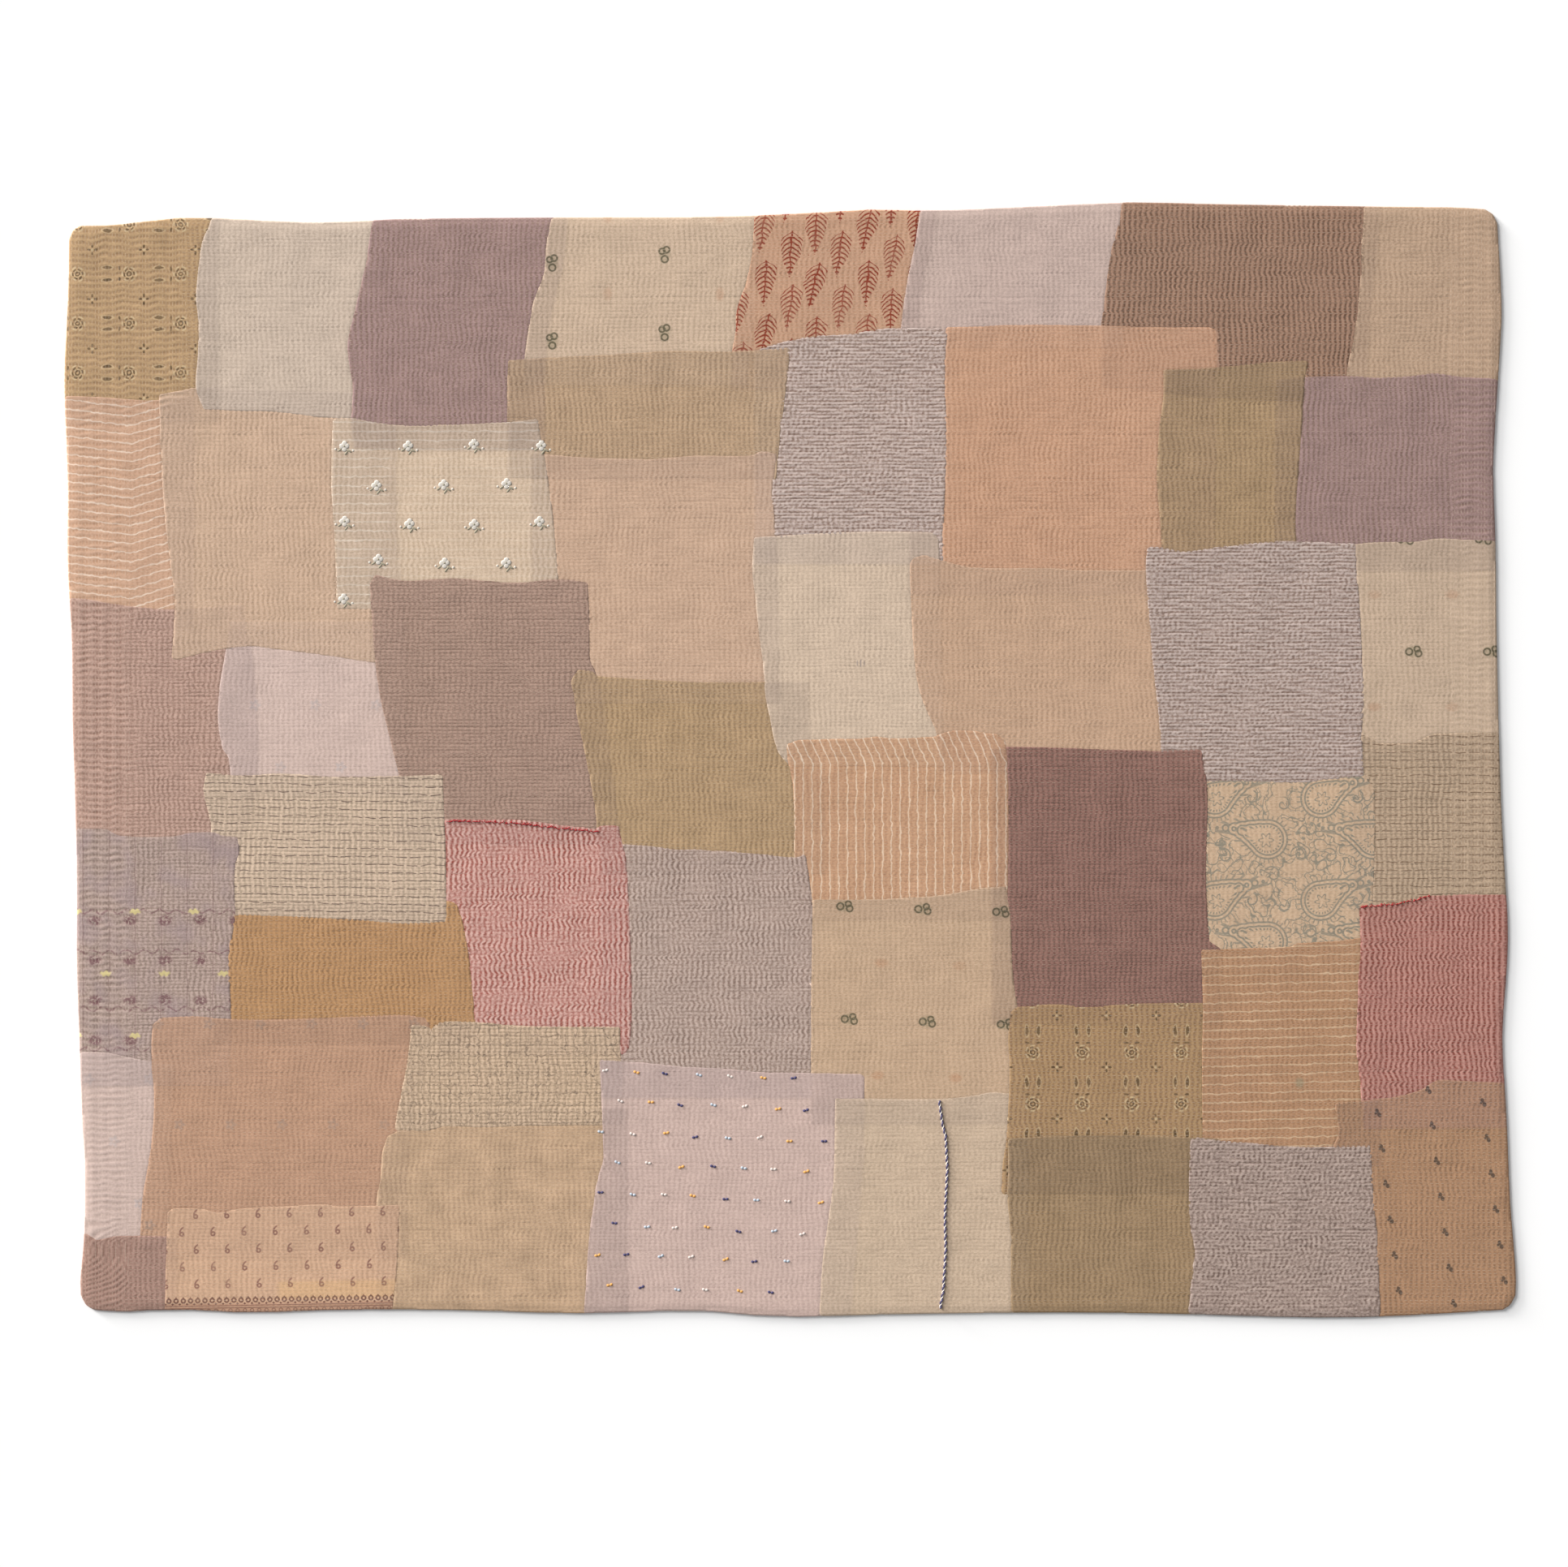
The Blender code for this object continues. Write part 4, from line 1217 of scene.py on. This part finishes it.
def scroll(x, y, radius, pitch):
    """One curling tendril: a spiral line."""
    far = distance(x, y)
    return (far / pitch - direction(x, y)).lines(1.0, 0.9 / pitch, 0.5 / pitch) * far.under(radius, 0.5)


CURLS = [(-20, 50, 12), (18, 42, 9), (38, -18, 11), (50, 12, 9), (-52, -20, 10), (6, -42, 11)]


def paisley_net(x, y, blur):
    """Large outlined paisleys, by turns to the left and to the right, among curling tendrils."""
    pitch_x, pitch_y = 126.0, 122.0
    to_right = (x.repeat(pitch_x), y.repeat(pitch_y), 0.02)
    to_left = (-(x + 63.0).repeat(pitch_x), (y + 73.0).repeat(pitch_y), -0.13)
    drawn, clear = [], []
    for mx, my, tilt in (to_right, to_left):
        rx = mx * math.cos(tilt) + my * math.sin(tilt)
        ry = my * math.cos(tilt) - mx * math.sin(tilt)
        edge, turn = teardrop(rx, ry), direction(rx + 2, ry + 1)
        double_line = edge.size().at_most((edge + 4.6).size()).under(1.05, 0.45)
        beads = edge.close_to(-8.0, 1.3, 0.5) * (turn * 26).wave().ramp(-0.1, 0.5)
        petals = (distance(rx + 2, ry + 1) - 6.5 - (turn * 6).wave() * 2.2).size().under(0.9, 0.5)
        thorns = edge.close_to(3.0, 2.4, 0.5) * (turn * 30).wave().ramp(0.35, 0.8)
        drawn += [double_line, beads, petals, thorns * 0.85]
        clear.append(edge.ramp(5.0, 6.0))
    curls = []
    for cx, cy, radius in CURLS:
        curls.append(scroll((x - cx).repeat(pitch_x), (y - cy).repeat(pitch_y), radius, 7.4))
    swirl = soft_noise(joined(x, y), 0.04, 1.0)
    small_swirl = soft_noise(joined(x, y), 0.12, 0.0)
    stem = (swirl - 0.44).size().at_most((swirl - 0.57).size()).under(0.017, 0.010)
    buds = small_swirl.close_to(0.5, 0.035, 0.02) * swirl.close_to(0.5, 0.13, 0.02)
    ink = boldest(*drawn, boldest(*curls, stem, buds) * (clear[0] * clear[1]))
    return [(ink * (0.70 + blur * 0.35), "837E70")]


print("Large paisleys are drawn")

# %% [markdown]
# Woven and darned patterns. Stripes and checks are woven in, so they bend with the cloth where it was
# laid askew. Dashes and bands are old embroidery and darning that the stitching now runs over.

# %% Weave the stripes and darn the dashes
def stripes(pitch, half, dye, strength, left_slope=0.0, right_slope=0.0, knee=0.0):
    """Woven stripes across the cloth. The cloth was laid a little askew, so they can bend."""

    def draw(x, y, blur):
        bent = y - (knee - x).at_least(0.0) * left_slope - (x - knee).at_least(0.0) * right_slope
        line = (bent + (blur - 0.5) * 3.0 + sway(x, y, 0.12, 3.4)).lines(pitch, half, 0.7)
        return [(line * (strength + (blur - 0.5) * 0.5), dye)]

    return draw


def spotted_stripes(x, y, blur):
    """Pale stripes with one old grey stain."""
    stain = distance((x - 21) * 1.2, y + 87).under(6.0, 3.5) * (0.45 + blur * 0.4)
    return stripes(10.8, 0.65, "DDC4A4", 0.56)(x, y, blur) + [(stain, "8F8268")]


def silver_ground(x, y, blur):
    """Faint stripes, clearer along two sides, where a striped cloth shows through."""
    doubled = (x + 62).under(0.0, 5.0).at_least(y.ramp(60, 68))
    plain = stripes(10.8, 0.75, "F0E4D2", 0.38)(x, y, blur)
    return [(mask * (doubled * 0.8 + 0.4), dye) for mask, dye in plain]


def darned_dashes(dye):
    """Rows of long dark stitches, each row starting where it likes."""
    row_pitch, dash_pitch, dash = 9.4, 16.5, 6.4

    def draw(x, y, blur):
        wavy = y + (blur - 0.5) * 5.5
        row = (wavy / row_pitch).nearest()
        moved = x + (row * 0.43).wave() * 3.4 + (row * 0.29).wave() * 2.6
        dashes = wavy.lines(row_pitch, 0.55, 0.4) * moved.lines(dash_pitch, dash, 0.9)
        return [(dashes * (0.45 + blur * 0.7), dye)]

    return draw


def woven_check(x, y, blur):
    """A small dark check woven in."""
    pitch = 11.6
    bend = (blur - 0.5) * 9.0 + sway(x, y, 0.12, 9.0)
    check = (x + bend).repeat(pitch).size().at_most((y + bend).repeat(pitch).size())
    gaps = sway(x, y, 0.3, 2.0) + 0.65
    return [(check.under(0.65, 0.5) * (0.2 + blur * 0.8) * gaps, "5F5045")]


def embroidery_rows(x, y, blur):
    """Old embroidery: bands of purple stitches, some yellow, between thin drawn lines."""
    band_pitch, gold_pitch = 48.0, 74.0
    from_middle = (y + 82 + (blur - 0.5) * 5).size()
    py = (from_middle - 34).repeat(band_pitch)
    low_half = (y - 14).under(0.0, 2.0)
    ragged = soft_noise(joined(x, y), 0.28, 2.0)
    cloudy = soft_noise(joined(x, y), 0.02, 2.0)
    wavy = py + (x * 0.05).wave() * 2.2 + sway(x, y, 0.1, 4.0)
    knot = distance((x + 6).repeat(42.0) * 0.7, py + 10.5).under(5.6, 2.2)
    line = wavy.size().under(1.2, 0.8) * 0.8
    drawn = (x + sway(x, y, 0.05, 3.0)).lines(31.0, 0.5, 0.4) * 0.55
    row = (y / gold_pitch).nearest()
    gold_x, gold_y = (x + row * 35.0).repeat(70.0), y.repeat(gold_pitch) + (x * 0.16).wave() * 0.9
    gold = distance(gold_x * 0.5, gold_y * 1.1).under(3.2, 0.9) * low_half
    stitches = knot.at_least(line) * ragged.ramp(0.34, 0.52) * low_half
    haze = cloudy.ramp(0.42, 0.75) * 0.55
    return [(haze, "9E8A8C"), (drawn, "6F5450"), (stitches * 0.75, "6E464D"), (gold * 0.85, "D8C88C")]


PRINTS = {
    "ochre_block": rosettes,
    "brown_block": rosettes,
    "cream_buti": double_rings,
    "tan_buti": double_rings,
    "fern_print": ferns,
    "peach_stripe": stripes(10.85, 0.75, "EBD8C6", 0.66, left_slope=0.12, right_slope=0.30),
    "orange_stripe": stripes(10.5, 0.75, "EBD5BC", 0.64, right_slope=0.45, knee=71),
    "amber_stripe": spotted_stripes,
    "silver_flower": silver_ground,
    "purple_dash": darned_dashes("57453F"),
    "brown_dash": darned_dashes("6A5340"),
    "dark_check": woven_check,
    "paisley_net": paisley_net,
    "small_paisley": small_paisleys,
    "tick_tan": small_ticks,
    "grey_embroidered": embroidery_rows,
    "ivory_muslin": single_mark,
    "dusty_rose": faint_flowers("85807C", 0.5, 61, 120),
    "shell_muslin": faint_flowers("8E99A3", 0.40, 72, 74),
}
print(len(PRINTS), "kinds of print")

# %% [markdown]
# The cottons. Each kind of cloth gets one material. The ground is darker in the hollows of the stitching
# than on its ridges, and how much depends on the cloth: that is painted shade in the hollows, and in a
# loose weave also its own darker threads. The print goes on top, then years of washing: slow fading and
# faint streaks along the threads. The sewing thread shows as a short pale dash in each hollow. A fine
# weave stands in the bump, since its threads are far thinner than the lattice.

# %% Dye and weave the cottons
DYE = 0.935
USUAL_FADING = 0.18
FADING = {
    "cloudy_sand": 0.45,
    "walnut_cotton": 0.3,
    "ochre_block": 0.3,
    "deep_olive": 0.3,
    "mauve_muslin": 0.28,
    "olive_muslin": 0.28,
}
THREADS_PER_MM = 1.35
WEAVE_DEPTH = 0.18 * MM


def cotton(kind, cloth):
    material = bpy.data.materials.new("cotton_" + kind)
    material.use_nodes = True
    tree = material.node_tree
    start = Wire(tree)
    metres = start.node("UVMap", {"uv_map": "grain"}, {})
    grain = start.node("VectorMath", {"operation": "SCALE"}, {0: metres, "Scale": 1000.0})
    x, y = parted(grain)
    u, v = parted(start.node("UVMap", {"uv_map": "stitch"}, {}))

    blur = soft_noise(grain, 0.035, 3.0)
    raised = start.node("VertexColor", {"layer_name": "tint"}, {}, 1)
    coarse = soft_noise(grain, 0.35, 2.0)
    # Painted shade: the ground turns to the cloth's darker hollow colour where the point lies low in its
    # pucker.
    up = (raised + (coarse - 0.5) * 0.7).ramp(0.12, 0.85)
    ground = up.mix(rgba(cloth.hollow, DYE), rgba(cloth.colour, DYE))
    for mask, dye in (PRINTS[kind](x, y, blur) if kind in PRINTS else []):
        ground = mask.at_least(0.0).at_most(1.0).mix(ground, rgba(dye, DYE))

    warp = grain.node("Mapping", {}, {"Vector": grain, "Scale": (2.6, 0.12, 1.0)})
    weft = grain.node("Mapping", {}, {"Vector": grain, "Scale": (0.12, 2.6, 1.0)})
    streak = soft_noise(warp, 1.0, 1.0) + soft_noise(weft, 1.0, 1.0)
    clouds = (blur - 0.5) * FADING.get(kind, USUAL_FADING)
    fade = 1 + clouds + (streak - 1.0) * 0.15 + (coarse - 0.5) * 0.12
    thread = v.lines(1.0, 0.07, 0.03) * (u + 0.5).lines(1.0, 0.27, 0.06)
    ground = (thread * 0.35).mix(ground, rgba("E3D3BF", 0.9))
    worn = fade.node("VectorMath", {"operation": "SCALE"}, {0: ground, "Scale": fade})
    tint = start.node("VertexColor", {"layer_name": "tint"}, {})
    dyed = tint.node("VectorMath", {"operation": "MULTIPLY"}, {0: worn, 1: tint})

    threads = (x * THREADS_PER_MM).wave() * 0.2 + (y * THREADS_PER_MM).wave() * 0.2
    weave = soft_noise(grain, 2.2, 2.0) * 0.5 + threads + thread * 1.2
    bump = weave.node("Bump", {}, {"Strength": 0.55, "Distance": WEAVE_DEPTH, "Height": weave})
    shader = tree.nodes["Principled BSDF"]
    tree.links.new(dyed.socket, shader.inputs["Base Color"])
    tree.links.new(bump.socket, shader.inputs["Normal"])
    shader.inputs["Roughness"].default_value = 0.92
    shader.inputs["Specular IOR Level"].default_value = 0.22
    return material


materials = {kind: cotton(kind, cloth) for kind, cloth in CLOTHS.items()}
for patch in PLAN:
    patches[patch.name].data.materials.append(materials[patch.cloth])
print(len(materials), "cottons dyed")

# %% [markdown]
# Raised embroidery. Three patches carry threads that stand above the cloth: silver flowers, small bright
# bow stitches and a twisted cord. They are real little shapes, so they catch the light and cast a
# shadow. Each sits on the height that its patch has at that place. Their places are given in the
# picture's own points, counted from its upper left corner.

# %% Find the cloth's height anywhere
CM_PER_POINT = 0.0968
QUILT_LEFT, QUILT_TOP = 80, 249
SOFT_SHINE = 0.25


def from_picture(px, py):
    """A place of the picture as metres in the quilt's frame."""
    return place((px - QUILT_LEFT) * CM_PER_POINT, (py - QUILT_TOP) * CM_PER_POINT)


def cloth_height(x, y):
    """The height of the upper cloth near a place, without its puckers."""
    i = int(np.clip(round(x / (STITCH_PITCH / 2) + (columns - 1) / 2), 0, columns - 1))
    j = int(np.clip(round(y / (ROW_PITCH / 2) + (rows - 1) / 2), 0, rows - 1))
    return float(body_height[j, i]) + 2 * LAYER


def plain_material(name, code, roughness=0.8):
    material = bpy.data.materials.new(name)
    material.use_nodes = True
    shader = material.node_tree.nodes["Principled BSDF"]
    shader.inputs["Base Color"].default_value = rgba(code)
    shader.inputs["Roughness"].default_value = roughness
    shader.inputs["Specular IOR Level"].default_value = SOFT_SHINE
    return material


def join_as(name, parts, material):
    """Makes one object of several."""
    bpy.ops.object.select_all(action="DESELECT")
    for part in parts:
        part.select_set(True)
    bpy.context.view_layer.objects.active = parts[0]
    bpy.ops.object.join()
    piece = bpy.context.object
    bpy.ops.object.transform_apply(location=True, rotation=True, scale=True)
    piece.name = name
    piece.data.name = name
    piece.data.materials.append(material)
    bpy.ops.object.select_all(action="DESELECT")
    return piece


# A bead's middle beside the motif's, its three half sizes in millimetres, and its turn in radians.
Bead = namedtuple("Bead", "x y long wide high turn")


def sew_beads(x, y, beads):
    """Small flattened beads of thread round a place."""
    sewn = []
    for bead in beads:
        bead_x, bead_y = x + bead.x * MM, y + bead.y * MM
        spot = (bead_x, bead_y, cloth_height(bead_x, bead_y))
        way = (0, 0, bead.turn)
        bpy.ops.mesh.primitive_uv_sphere_add(segments=8, ring_count=5, location=spot, rotation=way)
        bpy.context.object.scale = (bead.long * MM, bead.wide * MM, bead.high * MM)
        bpy.ops.object.shade_smooth()
        sewn.append(bpy.context.object)
    return sewn


print("Thread is ready")

# %% [markdown]
# The silver flowers. Each is a padded satin-stitch flower: four petals round a dark eye, a bead on each
# side and grey-green leaves at its foot. The dark sage leaves are also painted shade, standing for the
# shade that falls under each flower. They stand in staggered rows over the cream cloth.

# %% Sew the silver flowers
FLOWER_FIRST_X, FLOWER_FIRST_Y = 425, 548
FLOWER_STEP_X, FLOWER_STEP_Y, FLOWER_STAGGER = 80.4, 48.0, 41
FLOWERS_RIGHT_OF, FLOWERS_LEFT_OF = 405, 682
NARROW_UNTIL, ENDS_AT, NARROW_ENDS_AT = 440, 706, 745
PETALS = [
    Bead(-3.0, 0.4, 3.6, 3.6, 0.42, 0),
    Bead(3.0, 0.8, 3.4, 3.4, 0.42, 0),
    Bead(0.3, 3.8, 3.5, 3.5, 0.42, 0),
    Bead(0.2, -3.0, 3.4, 3.4, 0.42, 0),
    Bead(-10.5, -3.0, 1.5, 1.5, 0.42, 0),
    Bead(10.5, -4.6, 1.5, 1.5, 0.42, 0),
]
# Painted shade: these dark sage beads round and below the petals are the eye and leaves, and also stand for
# the shade under each flower.
EYE_LEAVES_AND_SHADE = [
    Bead(0, 0.5, 1.5, 1.5, 0.8, 0),
    Bead(-5.6, -4.0, 3.6, 1.2, 0.5, 0.6),
    Bead(5.8, -5.0, 3.8, 1.3, 0.5, -0.6),
    Bead(2.2, -7.6, 3.4, 1.3, 0.5, 0.9),
]
hearts, leaf_and_shade_beads = [], []
for row in range(5):
    stagger = FLOWER_STAGGER if row % 2 else 0
    for column in range(4):
        px = FLOWER_FIRST_X + FLOWER_STEP_X * column + stagger + hand.uniform(-3, 3)
        py = FLOWER_FIRST_Y + FLOWER_STEP_Y * row + hand.uniform(-3, 3)
        lowest = ENDS_AT if px > NARROW_UNTIL else NARROW_ENDS_AT
        if FLOWERS_RIGHT_OF < px < FLOWERS_LEFT_OF and py < lowest:
            x, y = from_picture(px, py)
            hearts += sew_beads(x, y, PETALS)
            leaf_and_shade_beads += sew_beads(x, y, EYE_LEAVES_AND_SHADE)
flower_count = len(hearts) // len(PETALS)
flowers = join_as("stitched_silver_flowers", hearts, plain_material("silver_thread", "CBC4BA"))
# The sage beads are leaves and painted shade under the flowers.
flower_leaves_and_shade = join_as("stitched_flower_leaves_and_shade", leaf_and_shade_beads, plain_material("sage_thread_and_shade", "97907D"))
print(flower_count, "silver flowers")

# %% [markdown]
# The bow stitches. On the pink muslin small bows of thick thread stand in slanting rows, white, pale
# blue, orange and navy by turns. Each bow is two beads pulled tight in the middle.

# %% Sew the bow stitches
BOW_FIRST_X, BOW_FIRST_Y = 840.6, 1360.7
BOW_STEP_X, BOW_STEP_Y, BOW_SLIP, BOW_SAG = 39.0, 38.6, 18.2, 1.8
BOW_ORDER = (3, 1, 0, 2)
BOW_HALF = 1.9 * MM
BOWS_END_AT = 1612
THREADS = {"white": "D0C3BC", "blue": "ADB6C0", "orange": "D9A05A", "navy": "4A4668"}
bow_threads = [plain_material(colour + "_thread", code) for colour, code in THREADS.items()]


def bows_reach(py):
    """The left and right ends of a row of bows, on the slanting cloth."""
    down = py - 1300
    return 748 - 0.10 * down, 1014 - 0.09 * down + (22 if 1345 < py < 1500 else 0)


bow_parts = [[] for _ in bow_threads]
for row in range(-1, 7):
    for column in range(-6, 7):
        px = BOW_FIRST_X + BOW_STEP_X * column + BOW_SLIP * row + hand.uniform(-3, 3)
        py = BOW_FIRST_Y + BOW_STEP_Y * row + BOW_SAG * column + hand.uniform(-2, 2)
        left_side, right_side = bows_reach(py)
        if not (left_side < px < right_side and py < BOWS_END_AT):
            continue
        x, y = from_picture(px, py)
        tilt = hand.uniform(-0.4, 0.4)
        for side in (-1, 1):
            half_x, half_y = side * BOW_HALF * math.cos(tilt), side * BOW_HALF * math.sin(tilt)
            bead = Bead(0, 0, 2.1, 1.7, 0.8, tilt + side * 0.3)
            bow_parts[BOW_ORDER[column % 4]] += sew_beads(x + half_x, y + half_y, [bead])
bow_count = sum(len(parts) for parts in bow_parts) // 2
bows = []
for number, parts in enumerate(bow_parts):
    bows.append(join_as(f"stitched_bows_{number + 1}", parts, bow_threads[number]))
print(bow_count, "bow stitches")

# %% [markdown]
# The twisted cord and the red edges. A navy and a white thread are twisted together and couched in a
# slow curve down one cream patch. Along the top of the two red patches a bright red selvedge frays out.
# Each thread is a curve through its places with a round section, made a mesh at the end.

# %% Lay the cord and the red edges
CORD = [(1158, 1356), (1162, 1385), (1166, 1400), (1168, 1440), (1165, 1500), (1166, 1540), (1163, 1590)]
CORD += [(1159, 1612)]
CORD_STEP, CORD_TWIST = 0.8 * MM, 8.5 * MM
CORD_LIFT, CORD_SWING, CORD_RISE = 0.7 * MM, 1.0 * MM, 0.5 * MM
NAVY_RADIUS, WHITE_RADIUS = 0.9 * MM, 0.5 * MM
RED_EDGES = {
    "west": [(551, 1011), (600, 1012), (640, 1014), (690, 1020), (738, 1024)],
    "east": [(1677, 1117), (1700, 1115), (1722, 1113), (1744, 1108), (1762, 1103)],
}
FRAY_STEP, FRAY_RADIUS, FRAY_LIFT = 1.5 * MM, 0.42 * MM, 0.4 * MM


def along(points, step):
    """Places along a line through picture points, so many metres apart, and the way it runs."""
    line = np.array([from_picture(*p) for p in points])
    sides = np.diff(line, axis=0)
    lengths = np.linalg.norm(sides, axis=1)
    reach = np.r_[0, np.cumsum(lengths)]
    for s in np.arange(0, reach[-1], step):
        k = min(int(np.searchsorted(reach, s, side="right")) - 1, len(sides) - 1)
        share = (s - reach[k]) / lengths[k]
        yield s, line[k] + sides[k] * share, sides[k] / lengths[k]


def thread_curve(name, strands, radius, material):
    """Round threads through lists of points, as one piece."""
    curve = bpy.data.curves.new(name, "CURVE")
    curve.dimensions = "3D"
    curve.bevel_depth = radius
    curve.bevel_resolution = 1
    for strand in strands:
        spline = curve.splines.new("POLY")
        spline.points.add(len(strand) - 1)
        for spot, knot in zip(strand, spline.points):
            knot.co = (*spot, 1.0)
    piece = add_object(name, curve)
    bpy.ops.object.select_all(action="DESELECT")
    piece.select_set(True)
    bpy.context.view_layer.objects.active = piece
    bpy.ops.object.convert(target="MESH")
    piece = bpy.context.object
    piece.data.materials.append(material)
    piece.select_set(False)
    return piece


twists = []
for phase in (0.0, math.pi):
    strand = []
    for s, spot, way in along(CORD, CORD_STEP):
        turn = s / CORD_TWIST * 2 * math.pi + phase
        swing = CORD_SWING * math.cos(turn)
        height = cloth_height(*spot) + CORD_LIFT + CORD_RISE * math.sin(turn)
        strand.append((spot[0] - way[1] * swing, spot[1] + way[0] * swing, height))
    twists.append(strand)
cord_navy = thread_curve("cord_navy", twists[:1], NAVY_RADIUS, bow_threads[3])
cord_white = thread_curve("cord_white", twists[1:], WHITE_RADIUS, plain_material("cord_thread", "EEE6DF"))

red_thread = plain_material("red_thread", "A8202A", 1.0)
selvedges = []
for side, points in RED_EDGES.items():
    strands = []
    for s, spot, way in along(points, FRAY_STEP):
        start = (spot[0], spot[1] - hand.uniform(0, 1.5) * MM, cloth_height(*spot) + FRAY_LIFT)
        end_x = start[0] + hand.uniform(-2, 3.5) * MM
        end_y = start[1] + hand.uniform(-1.0, 2.2) * MM
        middle = ((start[0] + end_x) / 2, (start[1] + end_y) / 2, start[2] + 0.6 * MM)
        strands.append([start, middle, (end_x, end_y, start[2] + 0.1 * MM)])
    selvedges.append(thread_curve("selvedge_" + side, strands, FRAY_RADIUS, red_thread))
print("One cord of two threads and", len(selvedges), "frayed red edges")

# %% [markdown]
# The backing's cotton is plain, with the sewing thread's dashes on it and a slow mottle of age.

# %% Dye the backing
backing_cotton = bpy.data.materials.new("cotton_backing")
backing_cotton.use_nodes = True
backing_shader = backing_cotton.node_tree.nodes["Principled BSDF"]
paint = Wire(backing_cotton.node_tree)
backing_grain = paint.node("UVMap", {"uv_map": "grain"}, {})
stitch_u, stitch_v = parted(paint.node("UVMap", {"uv_map": "stitch"}, {}))
run = stitch_v.lines(1.0, 0.10, 0.05) * stitch_u.lines(1.0, 0.30, 0.08)
mottle = soft_noise(backing_grain, 25.0, 3.0)
tone = (mottle * 0.6 + run * 0.4).mix(rgba("BFA890"), rgba("D8C6AF"))
dents = {"Strength": 0.4, "Distance": 0.3 * MM, "Height": run + mottle * 0.3}
backing_bump = paint.node("Bump", {}, dents)
backing_cotton.node_tree.links.new(tone.socket, backing_shader.inputs["Base Color"])
backing_cotton.node_tree.links.new(backing_bump.socket, backing_shader.inputs["Normal"])
backing_shader.inputs["Roughness"].default_value = 0.92
backing.data.materials.append(backing_cotton)
print("Backing dyed")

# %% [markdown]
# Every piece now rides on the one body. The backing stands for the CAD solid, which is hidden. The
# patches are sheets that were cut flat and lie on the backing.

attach(backing, "root")
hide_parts("quilt")

for patch in PLAN:
    piece = patches[patch.name]
    cut_size, cut_area = cuts[patch.name]
    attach(piece, "root")
    laid_area = sum(face.area for face in piece.data.polygons)
    print(f"{patch.name}: {cut_area * 10000:.0f} square cm, laid area {laid_area / cut_area:.2f} of it")
for piece in [flowers, flower_leaves_and_shade, cord_navy, cord_white, *bows, *selvedges]:
    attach(piece, "root")

# %% [markdown]
# The studio. The picture was taken from straight above against plain white, with one soft light from the
# upper left that is low enough to draw the puckers and leaves a soft shadow on the right and below.

# %% Light the quilt
FLOOR_DROP, FLOOR_SIZE = 0.4 * MM, 12
KEY_SPOT, RAKING_SPOT = (-1.9, 1.5, 1.25), (-1.9, 1.5, 0.36)
LAMP_WHITE, SKY_WHITE = (1.0, 0.985, 0.97), (0.97, 0.985, 1.0, 1.0)
bpy.ops.mesh.primitive_plane_add(size=FLOOR_SIZE, location=(0, 0, -FLOOR_DROP))
floor = bpy.context.object
floor.name = "floor"
floor.data.materials.append(plain_material("floor_white", "F2F2F2", 0.9))


def add_lamp(name, energy, spread, spot):
    """A distant lamp that shines from a spot towards the middle of the quilt."""
    data = bpy.data.lights.new(name, "SUN")
    data.energy = energy
    data.angle = math.radians(spread)
    data.color = LAMP_WHITE
    lamp = add_object(name, data)
    lamp.location = spot
    lamp.rotation_euler = (-lamp.location).to_track_quat("-Z", "Y").to_euler()


add_lamp("key", 3.4, 26, KEY_SPOT)
add_lamp("raking", 5.5, 13, RAKING_SPOT)

world = bpy.data.worlds.new("studio")
world.use_nodes = True
sky = world.node_tree.nodes["Background"]
sky.inputs["Color"].default_value = SKY_WHITE
sky.inputs["Strength"].default_value = 0.40
bpy.context.scene.world = world
print("Two lamps and a pale sky")

# %% [markdown]
# The camera hangs straight above the quilt and far away, as in the picture, so nothing leans.

# %% Place the camera
CAMERA_HEIGHT = 5.195
CAMERA_LENS, CAMERA_SENSOR = 100, 36
FRAME_CENTRE = (-0.0073, -0.0281)
camera_data = bpy.data.cameras.new("camera")
camera_data.lens = CAMERA_LENS
camera_data.sensor_width = CAMERA_SENSOR
camera = add_object("camera", camera_data)
camera.location = (*FRAME_CENTRE, CAMERA_HEIGHT)
bpy.context.scene.camera = camera
bpy.context.scene.view_settings.view_transform = "Standard"
print("Camera", CAMERA_HEIGHT, "m above the quilt")
